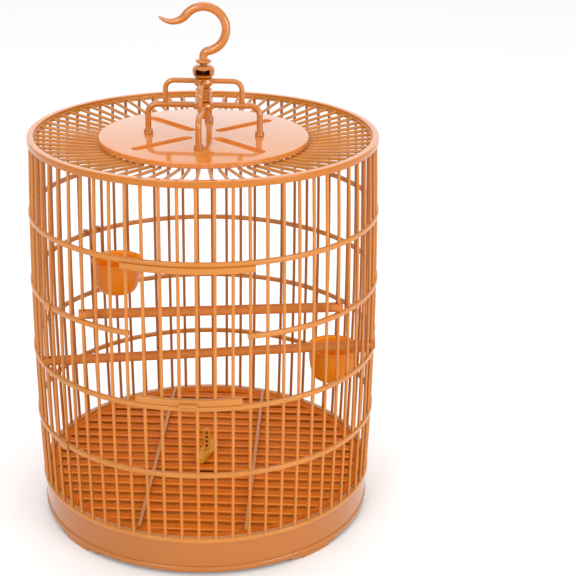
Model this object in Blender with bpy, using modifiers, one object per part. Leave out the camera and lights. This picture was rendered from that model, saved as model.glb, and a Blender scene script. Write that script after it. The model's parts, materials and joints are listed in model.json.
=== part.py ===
"""Round hanging bird cage: barred wall with a lifting door, barred roof with a carrying yoke and
swivel hook, slatted floor over a drop-out tray, two feed cups and two perches.
Metres, +Z up, origin on the ground at the cage's axis, door towards -Y.
Angles called azimuth are measured from the door's centre, positive towards +X."""

import math

import bmesh
import bpy
from mathutils import Matrix, Vector

# Driving sizes of the wall
BAR_COUNT = 66
DOOR_BAR_COUNT = 6
PANEL_COUNT = 12
BAR_RADIUS = 0.00155
WALL_RADIUS = 0.1617        # bar centres where the wall is widest
BARREL_RADIUS = 3.94        # the wall bulges on this large radius
WIDEST_HEIGHT = 0.1790
BAY_HEIGHT = 0.0655         # one bay between two hoops
BAY_COUNT = 5
CLEARANCE = 0.0003          # between pieces that touch
OVERRUN = 0.0020            # how far a cutter or a joined piece runs past a face
MERGE_DISTANCE = 1e-6
ANGLE_SHARE = 1e-6          # of a bar pitch, to tell a corner from an end
HOLE_SIDES = 8
ROD_SIDES = 12
HUB_SIDES = 16

# Hoops and rings
HOOP_HEIGHT = 0.0046
HOOP_BAND = 0.0012
CLIP_BAND = 0.0018
CLIP_MARGIN = 0.0010
CLIP_LENGTH = 0.0110
HOOP_CLIPS = {2: -9.75, 4: -8.6}    # the hoop and the clip's azimuth in bar pitches
TOP_RING_OUTSIDE = 0.0028   # the outer face stands this far outside the bar centres
TOP_RING_WIDTH = 0.0060
TOP_RING_HEIGHT = 0.0062
TOP_RING_SKIN = 0.0009
TOP_RING_PLATE = 0.0018
BOTTOM_RAIL_OUTSIDE = 0.0019
BOTTOM_RAIL_WIDTH = 0.0063
BOTTOM_RAIL_HEIGHT = 0.0045
PANEL_GAP = 0.0006

# Base
FOOT_HEIGHT = 0.0045
FOOT_STEP_HEIGHT = 0.0022
FOOT_WIDTH = 0.0026
FOOT_SPAN = math.radians(21.0)
FOOT_STEP_SPAN = math.radians(4.5)
FEET = {"front_right": 45, "back_right": 135, "back_left": 225, "front_left": 315}
SKIRT_INSET = 0.0021        # from the bottom rail's outer face
SKIRT_WALL = 0.0022
SKIRT_HEIGHT = 0.0300
SKIRT_BEAD = 0.0012
SKIRT_BEAD_HEIGHT = 0.0050
SKIRT_LEDGE_WIDTH = 0.0068
SKIRT_LEDGE_HEIGHT = 0.0027
SKIRT_STEPS = 48

# Floor grate, tray and latch
GRATE_RIM_WIDTH = 0.0072
GRATE_RIM_HEIGHT = 0.0038
SLAT_WIDTH = 0.0099
SLAT_HEIGHT = 0.0030
SLAT_PITCH = 0.0161
RIB_OFFSET = 0.0485
RIB_WIDTH = 0.0032
RIB_HEIGHT = 0.0026
GRATE_HUB_RADIUS = 0.0130
GRATE_HUB_SHARES = (0.1, 0.9)       # of the slats' height, down from their top
TRAY_WALL = 0.0018
TRAY_DEPTH = 0.0140
TRAY_SIDE_GAP = 0.0005
TRAY_CORNER = 0.0060
TRAY_PEAK_RADIUS = 0.0450
TRAY_PEAK_HEIGHT = 0.0035
TRAY_HOLE_SIDE = 0.0160
TRAY_STEPS = 48
LATCH_SHAFT_RADIUS = 0.0034
LATCH_SHAFT_PLAY = 0.0005
LATCH_FOOT_RADIUS = 0.0044
LATCH_KEY_LENGTH = 0.0420
LATCH_KEY_WIDTH = 0.0090
LATCH_KEY_HEIGHT = 0.0060
LATCH_KEY_ANGLE = math.radians(72.0)
LATCH_STEM_WIDTH = 0.0066
LATCH_STEM_THICKNESS = 0.0030
LATCH_STEM_HEIGHT = 0.0220
LATCH_HOLE_COUNT = 4
LATCH_HOLE_WIDTH = 0.0026
LATCH_HOLE_HEIGHT = 0.0030
LATCH_FIRST_HOLE_SHARE = 0.8        # of the holes' pitch, up from the grip's foot
LATCH_CROWN_SHARE = 0.6
LATCH_CROWN_POINTS = 7

# Door
DOOR_RAIL_HEIGHT = 0.0062
DOOR_RAIL_WIDTH = 0.0058
DOOR_RAIL_OUTSIDE = 0.0030  # how far the rail stands outside the bar centres
DOOR_TAB_LENGTH = 0.0165
DOOR_TAB_DEPTH = 0.0030
DOOR_TAB_HEIGHT = 0.0030
DOOR_BAR_PLAY = 0.0005
LINTEL_HEIGHT = 0.0050
LINTEL_BAND = 0.0022
LINTEL_RETURN = 0.0016

# Roof
ROOF_RIM_WIDTH = 0.0018
ROOF_BAR_HALF = 0.0016
ROOF_BAR_FALL = 0.0070
ROOF_BAR_UNDER_DISC = 0.0050
DISC_RADIUS = 0.0960
DISC_HEIGHT = 0.0050
DISC_DROP = 0.0036          # disc top below the ring top
DISC_EDGE = 0.0010
DISC_STEPS = 48
GROOVE_INNER = 0.0150
GROOVE_OUTER = 0.0820
GROOVE_WIDTH = 0.0110
GROOVE_DEPTH = 0.0028
GROOVE_END_POINTS = 5

# Carrying yoke, heights above the disc
LEG_RADIUS_OUT = 0.0510
LEG_WIRE = 0.0028
LOWER_ARCH_HEIGHT = 0.0274
LOWER_CORNER = 0.0090
UPPER_LEG_OUT = 0.0347
UPPER_WIRE = 0.0021
UPPER_ARCH_HEIGHT = 0.0496
UPPER_CORNER = 0.0080
CORNER_POINTS = 5
SOCKET_RADIUS = 0.0044
SOCKET_HEIGHT = 0.0040
LOWER_HUB_RADIUS = 0.0105
LOWER_HUB_HEIGHT = 0.0066
LOWER_TAIL_RADIUS = 0.0042
LOWER_TAIL_LENGTH = 0.0080
LOWER_TAIL_FLANGE = 0.0060  # radius of the step between the hub and its tail
LOWER_TAIL_STEP = 0.0012
UPPER_HUB_RADIUS = 0.0098
UPPER_HUB_HEIGHT = 0.0060
UPPER_HUB_RIM = 0.0050      # height of the hub's upright edge
UPPER_CONE_RADIUS = 0.0058
UPPER_CONE_HEIGHT = 0.0038
SPINDLE_RADIUS = 0.0076
SPINDLE_NECK = 0.0058
SPINDLE_RIBS = 4
SPINDLE_RIB_SHARES = (0.30, 0.70)   # of a rib's pitch, where its crest starts and ends

# Swivel and hook
BEAD_RADIUS = 0.0098
BEAD_END_RADIUS = 0.0070
BEAD_HEIGHT = 0.0110
BEAD_WALL = 0.0020
BEAD_STEPS = 16
BEAD_BELLY_SHARES = (0.28, 0.72)    # of the bead's height, where its upright side starts and ends
BEAD_WINDOW_WIDTH = 0.0134
BEAD_WINDOW_HEIGHT = 0.0056
PIN_RADIUS = 0.0032
PIN_PLAY = 0.0005
PIN_HEAD_RADIUS = 0.0058
PIN_HEAD_HEIGHT = 0.0022
NECK_HEIGHT = 0.0022
COLLAR_RADIUS = 0.0074
COLLAR_HEIGHT = 0.0031
COLLAR_TOP_SHARE = 0.75
COLLAR_EDGE_SHARE = 0.35
HOOK_WIRE = 0.0038
HOOK_STEM = 0.0022
HOOK_BEND_RADIUS = 0.0055
HOOK_RADIUS = 0.0202
HOOK_OFFSET = 0.0006
HOOK_LIP_RADIUS = 0.0165
HOOK_LIP_START = math.radians(142.0)
HOOK_LIP_TURN = math.radians(96.0)
HOOK_TIP_SHARE = 0.25
HOOK_BEND_POINTS = 5
HOOK_ARC_POINTS = 15
HOOK_LIP_POINTS = 7

# Cups: azimuth in bar pitches from the door's centre, and the hoop they hang on
CUP_LEFT = {"pitches": -23.72, "hoop": 2}
CUP_RIGHT = {"pitches": 18.72, "hoop": 3}
CUP_INSET = 0.0350          # from the widest bar centres to the cup's axis
CUP_RADIUS = 0.0260
CUP_DEPTH = 0.0345
CUP_WALL = 0.0016
CUP_BELOW_HOOP = 0.0224
CUP_STEPS = 24
CUP_SHAPE_SHARES = ((1.0, 0.0), (1.0, 0.05), (0.935, 0.08), (0.905, 0.40), (0.82, 0.70), (0.68, 0.89),
                    (0.50, 1.0))    # of the radius and the depth: lip, wall and round bottom
CUP_HOOK_SPREAD_SHARE = 0.5         # of a bar pitch, to each side of the cup's azimuth
CUP_HOOK_SINK_SHARE = 0.8           # of the cup's wall, how deep the hook's foot is rooted
CUP_HOOK_WIDTH = 0.0032
CUP_HOOK_THICKNESS = 0.0016
CUP_HOOK_DROP = 0.0064
CUP_HOOK_PLAY = 0.0004
CUP_HOOK_SETBACK = 0.0036
CUP_HOOK_FOOT_DROP = 0.0040 # from the rim down to the foot that joins the wall

# Perches: the bars that their forked ends straddle, and the hoop they rest on
PERCH_UPPER = {"from_bar": -7, "to_bar": 9, "hoop": 2}
PERCH_LOWER = {"from_bar": -11, "to_bar": 14, "hoop": 3}
PERCH_RADIUS = 0.0043
PERCH_PAST_BAR = 0.0036     # how far the tines reach past the bar's centre
PERCH_SLOT_PLAY = 0.0004
PERCH_SIDES = 12

# Heights worked out from the sizes above
SKIRT_TOP = FOOT_HEIGHT + SKIRT_HEIGHT
RAIL_BOTTOM = SKIRT_TOP + CLEARANCE
RAIL_TOP = RAIL_BOTTOM + BOTTOM_RAIL_HEIGHT
RING_BOTTOM = RAIL_TOP + BAY_COUNT * BAY_HEIGHT
RING_TOP = RING_BOTTOM + TOP_RING_HEIGHT
DISC_TOP = RING_TOP - DISC_DROP
GRATE_BOTTOM = SKIRT_TOP + CLEARANCE
GRATE_TOP = GRATE_BOTTOM + GRATE_RIM_HEIGHT
TRAY_TOP = SKIRT_TOP - SKIRT_LEDGE_HEIGHT - CLEARANCE
TRAY_BOTTOM = TRAY_TOP - TRAY_DEPTH
LOWER_ARCH = DISC_TOP + LOWER_ARCH_HEIGHT
LOWER_HUB_BOTTOM = LOWER_ARCH - LOWER_HUB_HEIGHT / 2
LOWER_HUB_TOP = LOWER_ARCH + LOWER_HUB_HEIGHT / 2
UPPER_ARCH = DISC_TOP + UPPER_ARCH_HEIGHT
UPPER_HUB_TOP = UPPER_ARCH + UPPER_HUB_HEIGHT / 2
UPPER_HUB_BOTTOM = UPPER_HUB_TOP - UPPER_HUB_RIM - UPPER_CONE_HEIGHT
BEAD_BOTTOM = UPPER_HUB_TOP + CLEARANCE
BEAD_TOP = BEAD_BOTTOM + BEAD_HEIGHT
HOOK_COLLAR_BOTTOM = BEAD_TOP + NECK_HEIGHT
HOOK_COLLAR_TOP = HOOK_COLLAR_BOTTOM + COLLAR_HEIGHT


def barrel(height):
    """Radius of the bar centres on the wall's true curve."""
    return WALL_RADIUS - (height - WIDEST_HEIGHT) ** 2 / (2 * BARREL_RADIUS)


# Radii worked out from the wall
BAR_PITCH = 2 * math.pi / BAR_COUNT
HOOP_INSIDE = BAR_RADIUS + CLEARANCE
HOOP_OUTSIDE = HOOP_INSIDE + HOOP_BAND
TOP_RING_RADIUS = barrel(RING_BOTTOM) + TOP_RING_OUTSIDE
TOP_RAIL_INSIDE = barrel(RING_BOTTOM) - BAR_RADIUS - CLEARANCE
BOTTOM_RAIL_RADIUS = barrel(RAIL_TOP) + BOTTOM_RAIL_OUTSIDE
SKIRT_RADIUS = BOTTOM_RAIL_RADIUS - SKIRT_INSET
SKIRT_INSIDE = SKIRT_RADIUS - SKIRT_WALL
GRATE_RADIUS = BOTTOM_RAIL_RADIUS - BOTTOM_RAIL_WIDTH - 2 * CLEARANCE
CUP_OUT = WALL_RADIUS - CUP_INSET
GRATE_INNER = GRATE_RADIUS - GRATE_RIM_WIDTH
SLAT_REACH = GRATE_RADIUS - GRATE_RIM_WIDTH / 2
SLAT_LAST_EDGE = SLAT_REACH - CLEARANCE
SLAT_COUNT = 2 * int((GRATE_INNER + SLAT_WIDTH / 2 + SLAT_PITCH / 2) / SLAT_PITCH)

PARTS = bpy.data.collections.new("bird_cage")
CUTTERS = bpy.data.collections.new("cutters")


def clear_scene():
    for obj in list(bpy.data.objects):
        bpy.data.objects.remove(obj, do_unlink=True)
    bpy.context.scene.collection.children.link(PARTS)
    bpy.context.scene.collection.children.link(CUTTERS)


def make_material(name, color, roughness, metallic=0.0):
    material = bpy.data.materials.new(name)
    material.use_nodes = True
    shader = material.node_tree.nodes["Principled BSDF"]
    shader.inputs["Base Color"].default_value = (*color, 1.0)
    shader.inputs["Roughness"].default_value = roughness
    shader.inputs["Metallic"].default_value = metallic
    return material


# Geometry helpers


def wall_radius(height):
    """Radius of the bar centres at a height: the barrel's curve, straight between its bends."""
    bends = [RAIL_TOP, hoop_height(3), hoop_height(1), RING_BOTTOM]
    for low, high in zip(bends, bends[1:]):
        if height <= high or high == bends[-1]:
            share = (height - low) / (high - low)
            return barrel(low) * (1 - share) + barrel(high) * share


def hoop_height(number):
    """Middle height of a hoop, counted down from the top ring."""
    return RING_BOTTOM - number * BAY_HEIGHT


def on_circle(radius, azimuth, height=0.0):
    return Vector((radius * math.sin(azimuth), -radius * math.cos(azimuth), height))


def bar_azimuth(number):
    """Azimuth of a wall bar: bars 0 and -1 stand either side of the door's centre."""
    return (number + 0.5) * BAR_PITCH


def add_object(name, mesh, material, collection=None):
    obj = bpy.data.objects.new(name, mesh)
    obj.data.materials.clear()
    if material:
        obj.data.materials.append(material)
    (collection or PARTS).objects.link(obj)
    return obj


def hide_as_cutter(obj):
    for collection in list(obj.users_collection):
        collection.objects.unlink(obj)
    CUTTERS.objects.link(obj)
    obj.hide_render = True
    obj.display_type = "WIRE"
    return obj


def mesh_from_curve(name, curve, material, matrix=None):
    """Turns a curve into a mesh object with welded caps and outward faces."""
    guide = bpy.data.objects.new(name + "_curve", curve)
    PARTS.objects.link(guide)
    bpy.context.view_layer.update()
    graph = bpy.context.evaluated_depsgraph_get()
    mesh = bpy.data.meshes.new_from_object(guide.evaluated_get(graph))
    bpy.data.objects.remove(guide, do_unlink=True)
    mesh.name = name
    work = bmesh.new()
    work.from_mesh(mesh)
    bmesh.ops.remove_doubles(work, verts=work.verts, dist=MERGE_DISTANCE)
    bmesh.ops.recalc_face_normals(work, faces=work.faces)
    work.to_mesh(mesh)
    work.free()
    obj = add_object(name, mesh, material)
    if matrix is not None:
        obj.matrix_world = matrix
    return obj


def plate(name, outlines, low, high, material, matrix=None):
    """A flat outline, with any holes, between two heights."""
    curve = bpy.data.curves.new(name, "CURVE")
    curve.dimensions = "2D"
    curve.fill_mode = "BOTH"
    curve.extrude = (high - low) / 2
    for outline in outlines:
        spline = curve.splines.new("POLY")
        spline.points.add(len(outline) - 1)
        for point, place in zip(spline.points, outline):
            point.co = (place[0], place[1], 0.0, 1.0)
        spline.use_cyclic_u = True
    lift = Matrix.Translation((0, 0, (low + high) / 2))
    return mesh_from_curve(name, curve, material, lift if matrix is None else matrix @ lift)


def tubes(name, routes, radius, material, resolution=1, shares=None):
    """One tube along each route; shares thin a tube point by point."""
    curve = bpy.data.curves.new(name, "CURVE")
    curve.dimensions = "3D"
    curve.bevel_depth = radius
    curve.bevel_resolution = resolution
    curve.use_fill_caps = True
    for route in routes:
        spline = curve.splines.new("POLY")
        spline.points.add(len(route) - 1)
        for number, (point, place) in enumerate(zip(spline.points, route)):
            point.co = (*place, 1.0)
            point.radius = shares[number] if shares else 1.0
    return mesh_from_curve(name, curve, material)


def turned(name, profile, steps, material, closed=False):
    """A profile of (radius, height) points turned about Z; it runs down its outer side."""
    mesh = bpy.data.meshes.new(name)
    edges = [(i, i + 1) for i in range(len(profile) - 1)]
    if closed:
        edges.append((len(profile) - 1, 0))
    mesh.from_pydata([(r, 0.0, z) for r, z in profile], edges, [])
    obj = add_object(name, mesh, material)
    screw = obj.modifiers.new("turn", "SCREW")
    screw.axis = "Z"
    screw.steps = steps
    screw.render_steps = steps
    screw.use_merge_vertices = True
    screw.merge_threshold = MERGE_DISTANCE
    screw.use_smooth_shade = True
    return obj


def combine(obj, others, operation="UNION"):
    """Joins solids to obj or cuts them from it, and leaves them among the cutters."""
    for number, other in enumerate(others):
        step = obj.modifiers.new(f"{operation.lower()}_{number}", "BOOLEAN")
        step.operation = operation
        step.solver = "EXACT"
        step.object = hide_as_cutter(other)
    return obj


def sector_outline(inner, outer, start, end):
    """A flat arc-shaped strip whose corners follow the wall's bars."""
    first = math.ceil(start / BAR_PITCH - 0.5 + ANGLE_SHARE)
    last = math.floor(end / BAR_PITCH - 0.5 - ANGLE_SHARE)
    stops = [start] + [bar_azimuth(n) for n in range(first, last + 1)] + [end]
    out = [on_circle(outer, a) for a in stops]
    back = [on_circle(inner, a) for a in reversed(stops)]
    return [(p.x, p.y) for p in out + back]


def band(name, inner, outer, low, high, material):
    """A full ring of rectangular section with a corner at each bar."""
    profile = [(outer, high), (outer, low), (inner, low), (inner, high)]
    return turned(name, profile, BAR_COUNT, material, closed=True)


def box(name, size, centre, material, turn=0.0):
    bpy.ops.mesh.primitive_cube_add(size=1.0)
    obj = bpy.context.object
    obj.name = name
    for collection in list(obj.users_collection):
        collection.objects.unlink(obj)
    PARTS.objects.link(obj)
    obj.data.transform(Matrix.Diagonal((*size, 1.0)))
    obj.matrix_world = Matrix.Translation(centre) @ Matrix.Rotation(turn, 4, "Z")
    obj.data.materials.clear()
    obj.data.materials.append(material)
    return obj


def cylinder(name, radius, low, high, sides, material, place=(0.0, 0.0)):
    mesh = bpy.data.meshes.new(name)
    work = bmesh.new()
    bmesh.ops.create_cone(work, cap_ends=True, segments=sides, radius1=radius, radius2=radius,
                          depth=high - low)
    work.to_mesh(mesh)
    work.free()
    obj = add_object(name, mesh, material)
    obj.location = (*place, (low + high) / 2)
    return obj


def arc_points(centre, radius, start, end, count):
    """Points on an arc in the X-Z plane, both ends included."""
    step = (end - start) / (count - 1)
    return [(centre[0] + radius * math.cos(start + step * i),
             centre[1] + radius * math.sin(start + step * i)) for i in range(count)]


# Wall


def bar_route(azimuth, low, high):
    levels = [low] + [z for z in (hoop_height(3), hoop_height(1)) if low < z < high] + [high]
    return [on_circle(wall_radius(z), azimuth, z) for z in levels]


def build_wall_panels(material):
    """Panels of bars on a bottom rail, with a top rail that seats in the top ring's channel."""
    free_bars = BAR_COUNT - DOOR_BAR_COUNT
    each = free_bars // PANEL_COUNT
    half_gap = PANEL_GAP / 2 / BOTTOM_RAIL_RADIUS
    for panel in range(PANEL_COUNT):
        first = DOOR_BAR_COUNT // 2 + panel * each
        last = first + each - 1
        start = bar_azimuth(first) - BAR_PITCH / 2 + half_gap
        end = bar_azimuth(last) + BAR_PITCH / 2 - half_gap
        name = f"wall_panel_{panel + 1}"
        rail = plate(name, [sector_outline(BOTTOM_RAIL_RADIUS - BOTTOM_RAIL_WIDTH,
                                           BOTTOM_RAIL_RADIUS, start, end)],
                     RAIL_BOTTOM, RAIL_TOP, material)
        top_rail = plate(name + "_top_rail",
                         [sector_outline(TOP_RAIL_INSIDE,
                                         TOP_RING_RADIUS - TOP_RING_SKIN - CLEARANCE, start, end)],
                         RING_BOTTOM, RING_TOP - TOP_RING_PLATE - CLEARANCE, material)
        routes = [bar_route(bar_azimuth(n), RAIL_TOP - BOTTOM_RAIL_HEIGHT / 2,
                            RING_BOTTOM + TOP_RING_PLATE) for n in range(first, last + 1)]
        bars = tubes(name + "_bars", routes, BAR_RADIUS, material)
        combine(rail, [bars, top_rail])


def build_front_lower_panel(material):
    """The short bars under the door, on their own rail."""
    half = DOOR_BAR_COUNT // 2
    half_gap = PANEL_GAP / 2 / BOTTOM_RAIL_RADIUS
    reach = bar_azimuth(half - 1) + BAR_PITCH / 2 - half_gap
    rail = plate("front_lower_panel", [sector_outline(BOTTOM_RAIL_RADIUS - BOTTOM_RAIL_WIDTH,
                                                      BOTTOM_RAIL_RADIUS, -reach, reach)],
                 RAIL_BOTTOM, RAIL_TOP, material)
    top = hoop_height(3) + HOOP_HEIGHT / 2
    routes = [bar_route(bar_azimuth(n), RAIL_TOP - BOTTOM_RAIL_HEIGHT / 2, top)
              for n in range(-half, half)]
    combine(rail, [tubes("front_lower_bars", routes, BAR_RADIUS, material)])


def build_hoops(material):
    door_half = bar_azimuth(DOOR_BAR_COUNT // 2)
    for number in range(1, BAY_COUNT):
        middle = hoop_height(number)
        inner = wall_radius(middle) + HOOP_INSIDE
        outer = wall_radius(middle) + HOOP_OUTSIDE
        low, high = middle - HOOP_HEIGHT / 2, middle + HOOP_HEIGHT / 2
        if number == 2:
            plate("hoop_2", [sector_outline(inner, outer, door_half,
                                            2 * math.pi - door_half)], low, high, material)
        else:
            band(f"hoop_{number}", inner, outer, low, high, material)


def build_hoop_clips(material):
    """Short outer plates that close the hoops' joints."""
    for number, pitches in HOOP_CLIPS.items():
        middle = hoop_height(number)
        inner = wall_radius(middle) + HOOP_OUTSIDE + CLEARANCE
        half = CLIP_LENGTH / 2 / inner
        azimuth = pitches * BAR_PITCH
        plate(f"hoop_{number}_clip", [sector_outline(inner, inner + CLIP_BAND,
                                                     azimuth - half, azimuth + half)],
              middle - HOOP_HEIGHT / 2 - CLIP_MARGIN, middle + HOOP_HEIGHT / 2 + CLIP_MARGIN,
              material)


def build_top_ring(material):
    """An angle-section ring: an outer skin and a top plate, with holes for the door's bars."""
    inside = TOP_RING_RADIUS - TOP_RING_WIDTH
    skin = TOP_RING_RADIUS - TOP_RING_SKIN
    under = RING_TOP - TOP_RING_PLATE
    profile = [(TOP_RING_RADIUS, RING_TOP), (TOP_RING_RADIUS, RING_BOTTOM), (skin, RING_BOTTOM),
               (skin, under), (inside, under), (inside, RING_TOP)]
    ring = turned("top_ring", profile, BAR_COUNT, material, closed=True)
    holes = []
    for number in range(-(DOOR_BAR_COUNT // 2), DOOR_BAR_COUNT // 2):
        place = door_bar_place(number, RING_TOP)
        holes.append(cylinder(f"door_bar_hole_{number}", BAR_RADIUS + DOOR_BAR_PLAY,
                              under - OVERRUN, RING_TOP + OVERRUN, HOLE_SIDES, None,
                              (place.x, place.y)))
    combine(ring, holes, "DIFFERENCE")


# Door


def door_tilt():
    """The door slides along this unit direction, which follows the wall from hoop 3 to the ring."""
    low, high = hoop_height(3), RING_BOTTOM
    return Vector((0.0, wall_radius(low) - wall_radius(high), high - low)).normalized()


def door_bar_place(number, height):
    """Centre of a door bar at a height: all door bars are parallel to the slide."""
    base = on_circle(wall_radius(hoop_height(3)), bar_azimuth(number), hoop_height(3))
    slide = door_tilt()
    return base + slide * ((height - base.z) / slide.z)


def build_door(material):
    half = DOOR_BAR_COUNT // 2
    low = hoop_height(3) + HOOP_HEIGHT / 2 + CLEARANCE
    high = low + DOOR_RAIL_HEIGHT
    outer = wall_radius(hoop_height(3)) + DOOR_RAIL_OUTSIDE
    reach = bar_azimuth(half - 1) + BAR_PITCH / 2
    rail = plate("door", [sector_outline(outer - DOOR_RAIL_WIDTH, outer, -reach, reach)],
                 low, high, material)
    routes = [[door_bar_place(n, low + DOOR_RAIL_HEIGHT / 2), door_bar_place(n, RING_TOP)]
              for n in range(-half, half)]
    bars = tubes("door_bars", routes, BAR_RADIUS, material)
    tab = box("door_tab", (DOOR_TAB_LENGTH, DOOR_TAB_DEPTH + DOOR_RAIL_WIDTH / 2, DOOR_TAB_HEIGHT),
              (0.0, -outer - DOOR_TAB_DEPTH + (DOOR_TAB_DEPTH + DOOR_RAIL_WIDTH / 2) / 2,
               low + DOOR_TAB_HEIGHT / 2), material)
    combine(rail, [bars, tab])


def build_lintel(material):
    """The rail under hoop 1 that the door's bars slide behind; it hooks round both door posts."""
    high = hoop_height(1) - HOOP_HEIGHT / 2 - CLEARANCE
    low = high - LINTEL_HEIGHT
    centre = wall_radius(high)
    inner = centre + HOOP_INSIDE
    post = bar_azimuth(DOOR_BAR_COUNT // 2)
    side = (BAR_RADIUS + CLEARANCE + LINTEL_RETURN) / centre
    start = post + (BAR_RADIUS + CLEARANCE) / centre
    outline = sector_outline(inner, inner + LINTEL_BAND, -(post + side), post + side)
    arms = []
    for sign in (-1, 1):
        ends = sorted((sign * start, sign * (post + side)))
        arms.append(plate(f"lintel_return_{sign}",
                          [sector_outline(centre - BAR_RADIUS, inner + LINTEL_BAND / 2, *ends)],
                          low, high, material))
    combine(plate("door_lintel", [outline], low, high, material), arms)


# Roof


def build_roof_grille(material):
    """A rim in the top ring's channel carries the radial bars; their inner ends lie under the disc."""
    rim_outer = TOP_RAIL_INSIDE - 2 * CLEARANCE
    rim = band("roof_grille", rim_outer - ROOF_RIM_WIDTH, rim_outer, RING_BOTTOM,
               RING_TOP - TOP_RING_PLATE - CLEARANCE, material)
    rim.rotation_euler.z = BAR_PITCH / 2    # so that each bar meets a flat of the rim
    inner_z = DISC_TOP - DISC_HEIGHT - 3 * CLEARANCE - ROOF_BAR_HALF
    outer_z = inner_z + ROOF_BAR_FALL
    inner_r = DISC_RADIUS - ROOF_BAR_UNDER_DISC
    outer_r = rim_outer - ROOF_RIM_WIDTH / 2
    routes = []
    for number in range(BAR_COUNT):
        azimuth = bar_azimuth(number)
        routes.append([on_circle(inner_r, azimuth, inner_z), on_circle(outer_r, azimuth, outer_z)])
    bars = tubes("roof_bars", routes, ROOF_BAR_HALF, material, resolution=0)
    combine(rim, [bars])


def pill_outline(start, end, width):
    """A slot outline along X with round ends."""
    r = width / 2
    right = arc_points((end - r, 0.0), r, -math.pi / 2, math.pi / 2, GROOVE_END_POINTS)
    left = arc_points((start + r, 0.0), r, math.pi / 2, 3 * math.pi / 2, GROOVE_END_POINTS)
    return right + left


def build_roof_disc(material):
    base = DISC_TOP - DISC_HEIGHT
    flat = DISC_RADIUS - DISC_EDGE
    profile = [(0.0, DISC_TOP), (flat, DISC_TOP), (DISC_RADIUS, DISC_TOP - DISC_EDGE),
               (DISC_RADIUS, base + DISC_EDGE), (flat, base), (0.0, base)]
    disc = turned("roof_disc", profile, DISC_STEPS, material)
    grooves = []
    for quarter in range(4):
        turn = Matrix.Rotation(math.radians(45 + 90 * quarter), 4, "Z")
        outline = pill_outline(GROOVE_INNER, GROOVE_OUTER, GROOVE_WIDTH)
        grooves.append(plate(f"groove_{quarter}", [outline], DISC_TOP - GROOVE_DEPTH,
                             DISC_TOP + OVERRUN, None, turn))
    combine(disc, grooves, "DIFFERENCE")


# Yoke, swivel and hook


def arm_route(leg_out, foot, arch, corner, inner):
    """From the foot up the leg, round the corner and in to the hub, in the X-Z plane."""
    bend = arc_points((leg_out - corner, arch - corner), corner, 0.0, math.pi / 2, CORNER_POINTS)
    return [(leg_out, foot)] + bend + [(inner, arch)]


def build_yoke(material):
    """Four legs and arms to a hub with a tail, and four smaller ones above to a hub with a cone."""
    foot = DISC_TOP + CLEARANCE + SOCKET_HEIGHT + CLEARANCE
    step = LOWER_HUB_BOTTOM - LOWER_TAIL_STEP
    tail = step - LOWER_TAIL_LENGTH
    lower_hub = turned("yoke_lower_arms", [(0.0, LOWER_HUB_TOP), (LOWER_HUB_RADIUS, LOWER_HUB_TOP),
                                           (LOWER_HUB_RADIUS, LOWER_HUB_BOTTOM),
                                           (LOWER_TAIL_FLANGE, LOWER_HUB_BOTTOM),
                                           (LOWER_TAIL_FLANGE, step), (LOWER_TAIL_RADIUS, step),
                                           (LOWER_TAIL_RADIUS, tail), (0.0, tail)],
                       HUB_SIDES, material)
    cone = UPPER_HUB_TOP - UPPER_HUB_RIM
    upper_hub = turned("yoke_upper_arms", [(0.0, UPPER_HUB_TOP), (UPPER_HUB_RADIUS, UPPER_HUB_TOP),
                                           (UPPER_HUB_RADIUS, cone),
                                           (UPPER_CONE_RADIUS, UPPER_HUB_BOTTOM),
                                           (0.0, UPPER_HUB_BOTTOM)],
                       HUB_SIDES, material)
    lower = arm_route(LEG_RADIUS_OUT, foot, LOWER_ARCH, LOWER_CORNER, LOWER_HUB_RADIUS / 2)
    upper = arm_route(UPPER_LEG_OUT, LOWER_ARCH + LEG_WIRE + CLEARANCE, UPPER_ARCH, UPPER_CORNER,
                      UPPER_HUB_RADIUS / 2)
    for hub, route, wire, name in ((lower_hub, lower, LEG_WIRE, "lower"),
                                   (upper_hub, upper, UPPER_WIRE, "upper")):
        arms = []
        for quarter in range(4):
            turn = math.pi / 2 * quarter
            arms.append([(r * math.cos(turn), r * math.sin(turn), z) for r, z in route])
        combine(hub, [tubes(f"yoke_{name}_wires", arms, wire, material)])
    for quarter, side in enumerate(("right", "back", "left", "front")):
        turn = math.pi / 2 * quarter
        cylinder(f"yoke_socket_{side}", SOCKET_RADIUS, DISC_TOP + CLEARANCE,
                 DISC_TOP + CLEARANCE + SOCKET_HEIGHT, ROD_SIDES, material,
                 (LEG_RADIUS_OUT * math.cos(turn), LEG_RADIUS_OUT * math.sin(turn)))


def build_spindle(material):
    """A ribbed column between the two hubs."""
    low = LOWER_HUB_TOP + CLEARANCE
    high = UPPER_HUB_BOTTOM - CLEARANCE
    pitch = (high - low) / SPINDLE_RIBS
    profile = [(0.0, high), (SPINDLE_NECK, high)]
    for rib in range(SPINDLE_RIBS):
        top = high - rib * pitch
        profile += [(SPINDLE_RADIUS, top - pitch * share) for share in SPINDLE_RIB_SHARES]
        profile.append((SPINDLE_NECK, top - pitch))
    profile.append((0.0, low))
    turned("yoke_spindle", profile, ROD_SIDES, material)


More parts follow.
